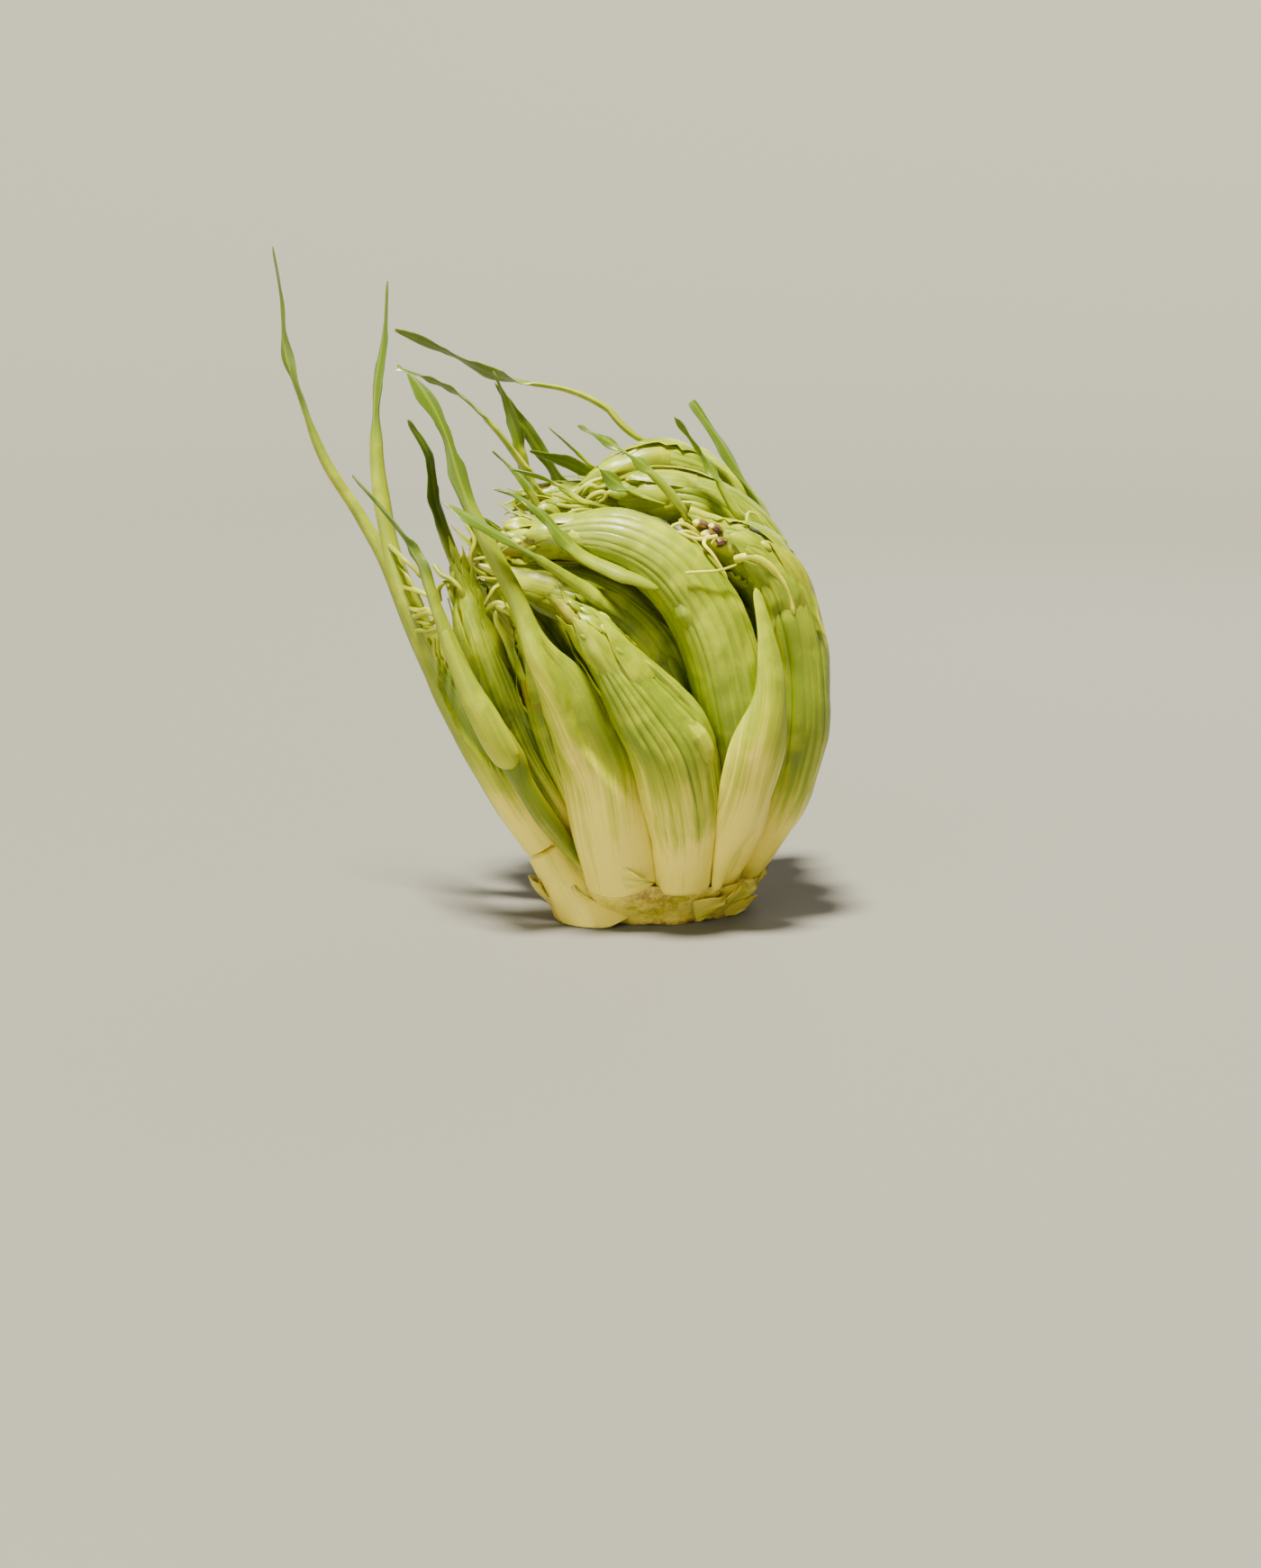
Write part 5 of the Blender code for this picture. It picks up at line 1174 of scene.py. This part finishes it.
def grown_head():
    """Every stalk in its place, pressed by its neighbours, with the small leaves of each shoot."""
    gap = bpy.context.scene.head_sizes.press_gap / MM
    stalks = {name: Stalk(rows) for name, rows in SHOOTS.items()}
    for name, rows in LEAVES.items():
        stalks[name] = Stalk(rows, facing=FACING.get(name), curl=SHEATH_CURL_RADIUS)
    stub = Stalk(STUB_UNDER_CRACK, facing=FACING[CRACKED_LEAF], curl=SHEATH_CURL_RADIUS)
    placed = list(stalks.values()) + [stub]
    blades = {name: [] for name in SHOOTS}
    for parent, rows in STEM_LEAVES:
        blade = Stalk(rows)
        blade.bend_clear(placed, stalks[parent])
        blade.root_on(stalks[parent])
        blades[parent].append(blade)
        placed.append(blade)
    for stalk in stalks.values():
        stalk.press(stalks.values(), gap)
    stub.press([other for name, other in stalks.items() if name != CRACKED_LEAF], gap)
    return stalks, stub, blades


class PUNTARELLE_OT_grow(bpy.types.Operator):
    """Lay out the stalks of the head"""

    bl_idname = "puntarelle.grow"
    bl_label = "Lay out the head"

    def execute(self, context):
        HEAD["stalks"], HEAD["stub"], HEAD["blades"] = grown_head()
        scene = context.scene
        colours = scene.head_colours
        # Fresh chicory stem, as it grew: a juicy skin under natural wax. Light enters it a little and it shines softly
        HEAD["shoot skin"] = plant_skin(
            "waxy_shoot_skin", colours, colours.bright_green, roughness=0.33, subsurface=0.2, coat=0.05)
        # Fresh leaf stalk, as it grew: thinner and drier skin with less wax, so that it shines less
        HEAD["stalk skin"] = plant_skin(
            "leaf_stalk_skin", colours, colours.stalk_green, roughness=0.4, subsurface=0.18, coat=0.05)
        # Stump flesh, cut with a knife: moist, so light goes deep into it, and browned by the air at its rim
        HEAD["flesh"] = plant_skin(
            "cut_crown_flesh", colours, colours.pale_green, roughness=0.36, subsurface=0.3, coat=0.1)
        return {"FINISHED"}


class PUNTARELLE_OT_shoots(bpy.types.Operator):
    """Model the ribbed shoots with their bracts, buds and small leaves"""

    bl_idname = "puntarelle.shoots"
    bl_label = "Add the shoots"

    def execute(self, context):
        sizes = context.scene.head_sizes
        for seed, name in enumerate(SHOOTS, SHOOT_SEED):
            stalk, blades = HEAD["stalks"][name], HEAD["blades"][name]
            stalk.ribbing = Ribbing(stalk, seed, sizes)
            parts = [shoot_body(stalk)]
            parts += tip_bracts(stalk, seed + 50, sizes.bracts, BRACTS_FROM[name])
            parts += buds(stalk, seed + 90, sizes.buds, BRACTS_FROM[name] + BUDS_AFTER)
            parts += [leaf_body(blade, seed + 130 + n, **STEM_LEAF_FORM) for n, blade in enumerate(blades)]
            parts += [leaf_foot(stalk, blade) for blade in blades]
            parts += [bud(*row) for row in BUDS.get(name, ())]
            lying = [("clasp", low, direction, stalk.length_between(low, high), half, lifts, tones)
                     for low, high, half, direction, lifts, tones in CLASPING.get(name, ())]
            for shape, low, direction, long, half, lifts, tones in lying + LYING.get(name, []):
                t0 = stalk.height(low)
                parts.append(cling(stalk, t0, stalk.side(t0, np.array(direction)), long, half, lifts, tones, shape,
                                   *LYING_BUILD[shape]))
            parts += twigs_of(name)
            whole("ribbed_" + name, parts, name, HEAD["shoot skin"])
        return {"FINISHED"}


class PUNTARELLE_OT_leaves(bpy.types.Operator):
    """Model the leaves that stand on the crown"""

    bl_idname = "puntarelle.leaves"
    bl_label = "Add the leaves"

    def execute(self, context):
        for seed, name in enumerate(LEAVES, LEAF_SEED):
            parts = [leaf_body(HEAD["stalks"][name], seed, relief_of=RELIEF.get(name), **LEAF_FORMS.get(name, {}))]
            if name == "leaf_left_fold":
                parts.append(leaf_body(Stalk(FOLDED_LEAF, facing=FACING[name]), seed + 40, **FOLDED_FORM))
            parts += twigs_of(name)
            whole("fresh_" + name, parts, name, HEAD["stalk skin"])
        return {"FINISHED"}


class PUNTARELLE_OT_crown(bpy.types.Operator):
    """Model the cut crown and the torn leaf bases round it"""

    bl_idname = "puntarelle.crown"
    bl_label = "Add the crown"

    def execute(self, context):
        feet = [stalk for name, stalk in HEAD["stalks"].items() if name != CRACKED_LEAF]
        parts = [crown_body(feet, CROWN_SEED, context.scene.head_sizes.crown_roughness)]
        torn_from, leaning_out, small_scraps, shred_thick = 1.4, 2.8, 18, 1.5
        for seed, (bearing, top, half, lean) in enumerate(TORN_ENDS, CROWN_SEED + 20):
            parts.append(scrap(bearing, torn_from, top - torn_from, half, leaning_out + lean, seed))
        draw = random.Random(CROWN_SEED + 60)
        for n in range(small_scraps):
            parts.append(scrap(
                n * 360 / small_scraps + draw.uniform(-9, 9), draw.uniform(0.3, 5.5), draw.uniform(3, 7.5),
                draw.uniform(2, 4.5), draw.uniform(0.2, 1.2), CROWN_SEED + 70 + n, thick=0.7,
                tilt=draw.uniform(-55, 55), radius=draw.uniform(27.2, 28.0), pointed=0.85))
        for seed, (bearing, low, long, half, lean, tilt, radius, pointed, flare) in enumerate(
                SHREDS, CROWN_SEED + 110):
            parts.append(scrap(bearing, low, long, half, lean, seed, shred_thick, tilt, radius, pointed, flare))
        parts.append(leaf_body(HEAD["stub"], CROWN_SEED + 40, **STUB_FORM))
        whole("cut_crown", parts, "crown", HEAD["flesh"])
        return {"FINISHED"}


class PUNTARELLE_OT_stage(bpy.types.Operator):
    """Add the floor, the studio lights and the camera"""

    bl_idname = "puntarelle.stage"
    bl_label = "Add the stage"

    def execute(self, context):
        bpy.ops.object.select_all(action="DESELECT")
        bpy.ops.mesh.primitive_grid_add(x_subdivisions=64, y_subdivisions=64, size=FLOOR_WIDTH, location=(0, 0, 0))
        floor = context.active_object
        floor.name = "floor"
        # Far out it curves up on all sides, so that no horizon cuts through the picture
        for point in floor.data.vertices:
            point.co.z = FLOOR_RISE * max(point.co.xy.length - FLAT_TO, 0) ** 2
        bpy.ops.object.shade_smooth()
        paint = bpy.data.materials.new("matt_floor_paint")
        paint.use_nodes = True
        shader = paint.node_tree.nodes["Principled BSDF"]
        shader.inputs["Base Color"].default_value = (*context.scene.head_colours.floor, 1)
        shader.inputs["Roughness"].default_value = 0.7
        floor.data.materials.append(paint)
        for name, kind, spot, size, power, tint in LIGHTS:
            bpy.ops.object.light_add(type=kind, location=spot)
            light = context.active_object
            light.name = name
            light.data.energy = power
            setattr(light.data, "angle" if kind == "SUN" else "size", size)
            light.data.color = tint
            light.rotation_euler = (Vector(LIT_POINT) - Vector(spot)).to_track_quat("-Z", "Y").to_euler()
        world = bpy.data.worlds.new("soft grey studio")
        world.use_nodes = True
        world.node_tree.nodes["Background"].inputs["Color"].default_value = WORLD_COLOUR
        world.node_tree.nodes["Background"].inputs["Strength"].default_value = WORLD_STRENGTH
        context.scene.world = world
        down = math.radians(CAMERA_DOWN)
        bpy.ops.object.camera_add(
            location=(AIM[0], AIM[1] - CAMERA_AWAY * math.cos(down), AIM[2] + CAMERA_AWAY * math.sin(down)),
            rotation=(math.radians(90 - CAMERA_DOWN), 0, 0))
        camera = context.active_object
        camera.data.lens = LENS
        camera.data.sensor_width = SENSOR
        camera.data.clip_start = 0.05
        context.scene.camera = camera
        return {"FINISHED"}


class PUNTARELLE_PT_panel(bpy.types.Panel):
    """The sizes and colours of the head, and the operators that build it"""

    bl_label = "Puntarelle head"
    bl_space_type = "VIEW_3D"
    bl_region_type = "UI"
    bl_category = "Puntarelle"

    def draw(self, context):
        for group in (context.scene.head_sizes, context.scene.head_colours):
            for name in group.bl_rna.properties.keys():
                if name not in ("rna_type", "name"):
                    self.layout.prop(group, name)
        for operator in OPERATORS:
            self.layout.operator(operator.bl_idname)


OPERATORS = (PUNTARELLE_OT_grow, PUNTARELLE_OT_shoots, PUNTARELLE_OT_leaves, PUNTARELLE_OT_crown,
             PUNTARELLE_OT_stage)
CLASSES = (HeadSizes, HeadColours, *OPERATORS, PUNTARELLE_PT_panel)


def register():
    for cls in CLASSES:
        bpy.utils.register_class(cls)
    bpy.types.Scene.head_sizes = bpy.props.PointerProperty(type=HeadSizes)
    bpy.types.Scene.head_colours = bpy.props.PointerProperty(type=HeadColours)


def unregister():
    del bpy.types.Scene.head_colours
    del bpy.types.Scene.head_sizes
    for cls in reversed(CLASSES):
        bpy.utils.unregister_class(cls)


def main():
    """Builds the head and its stage."""
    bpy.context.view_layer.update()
    register()
    bpy.ops.puntarelle.grow()
    bpy.ops.puntarelle.shoots()
    bpy.ops.puntarelle.leaves()
    bpy.ops.puntarelle.crown()
    bpy.ops.puntarelle.stage()


if __name__ == "__main__":
    main()
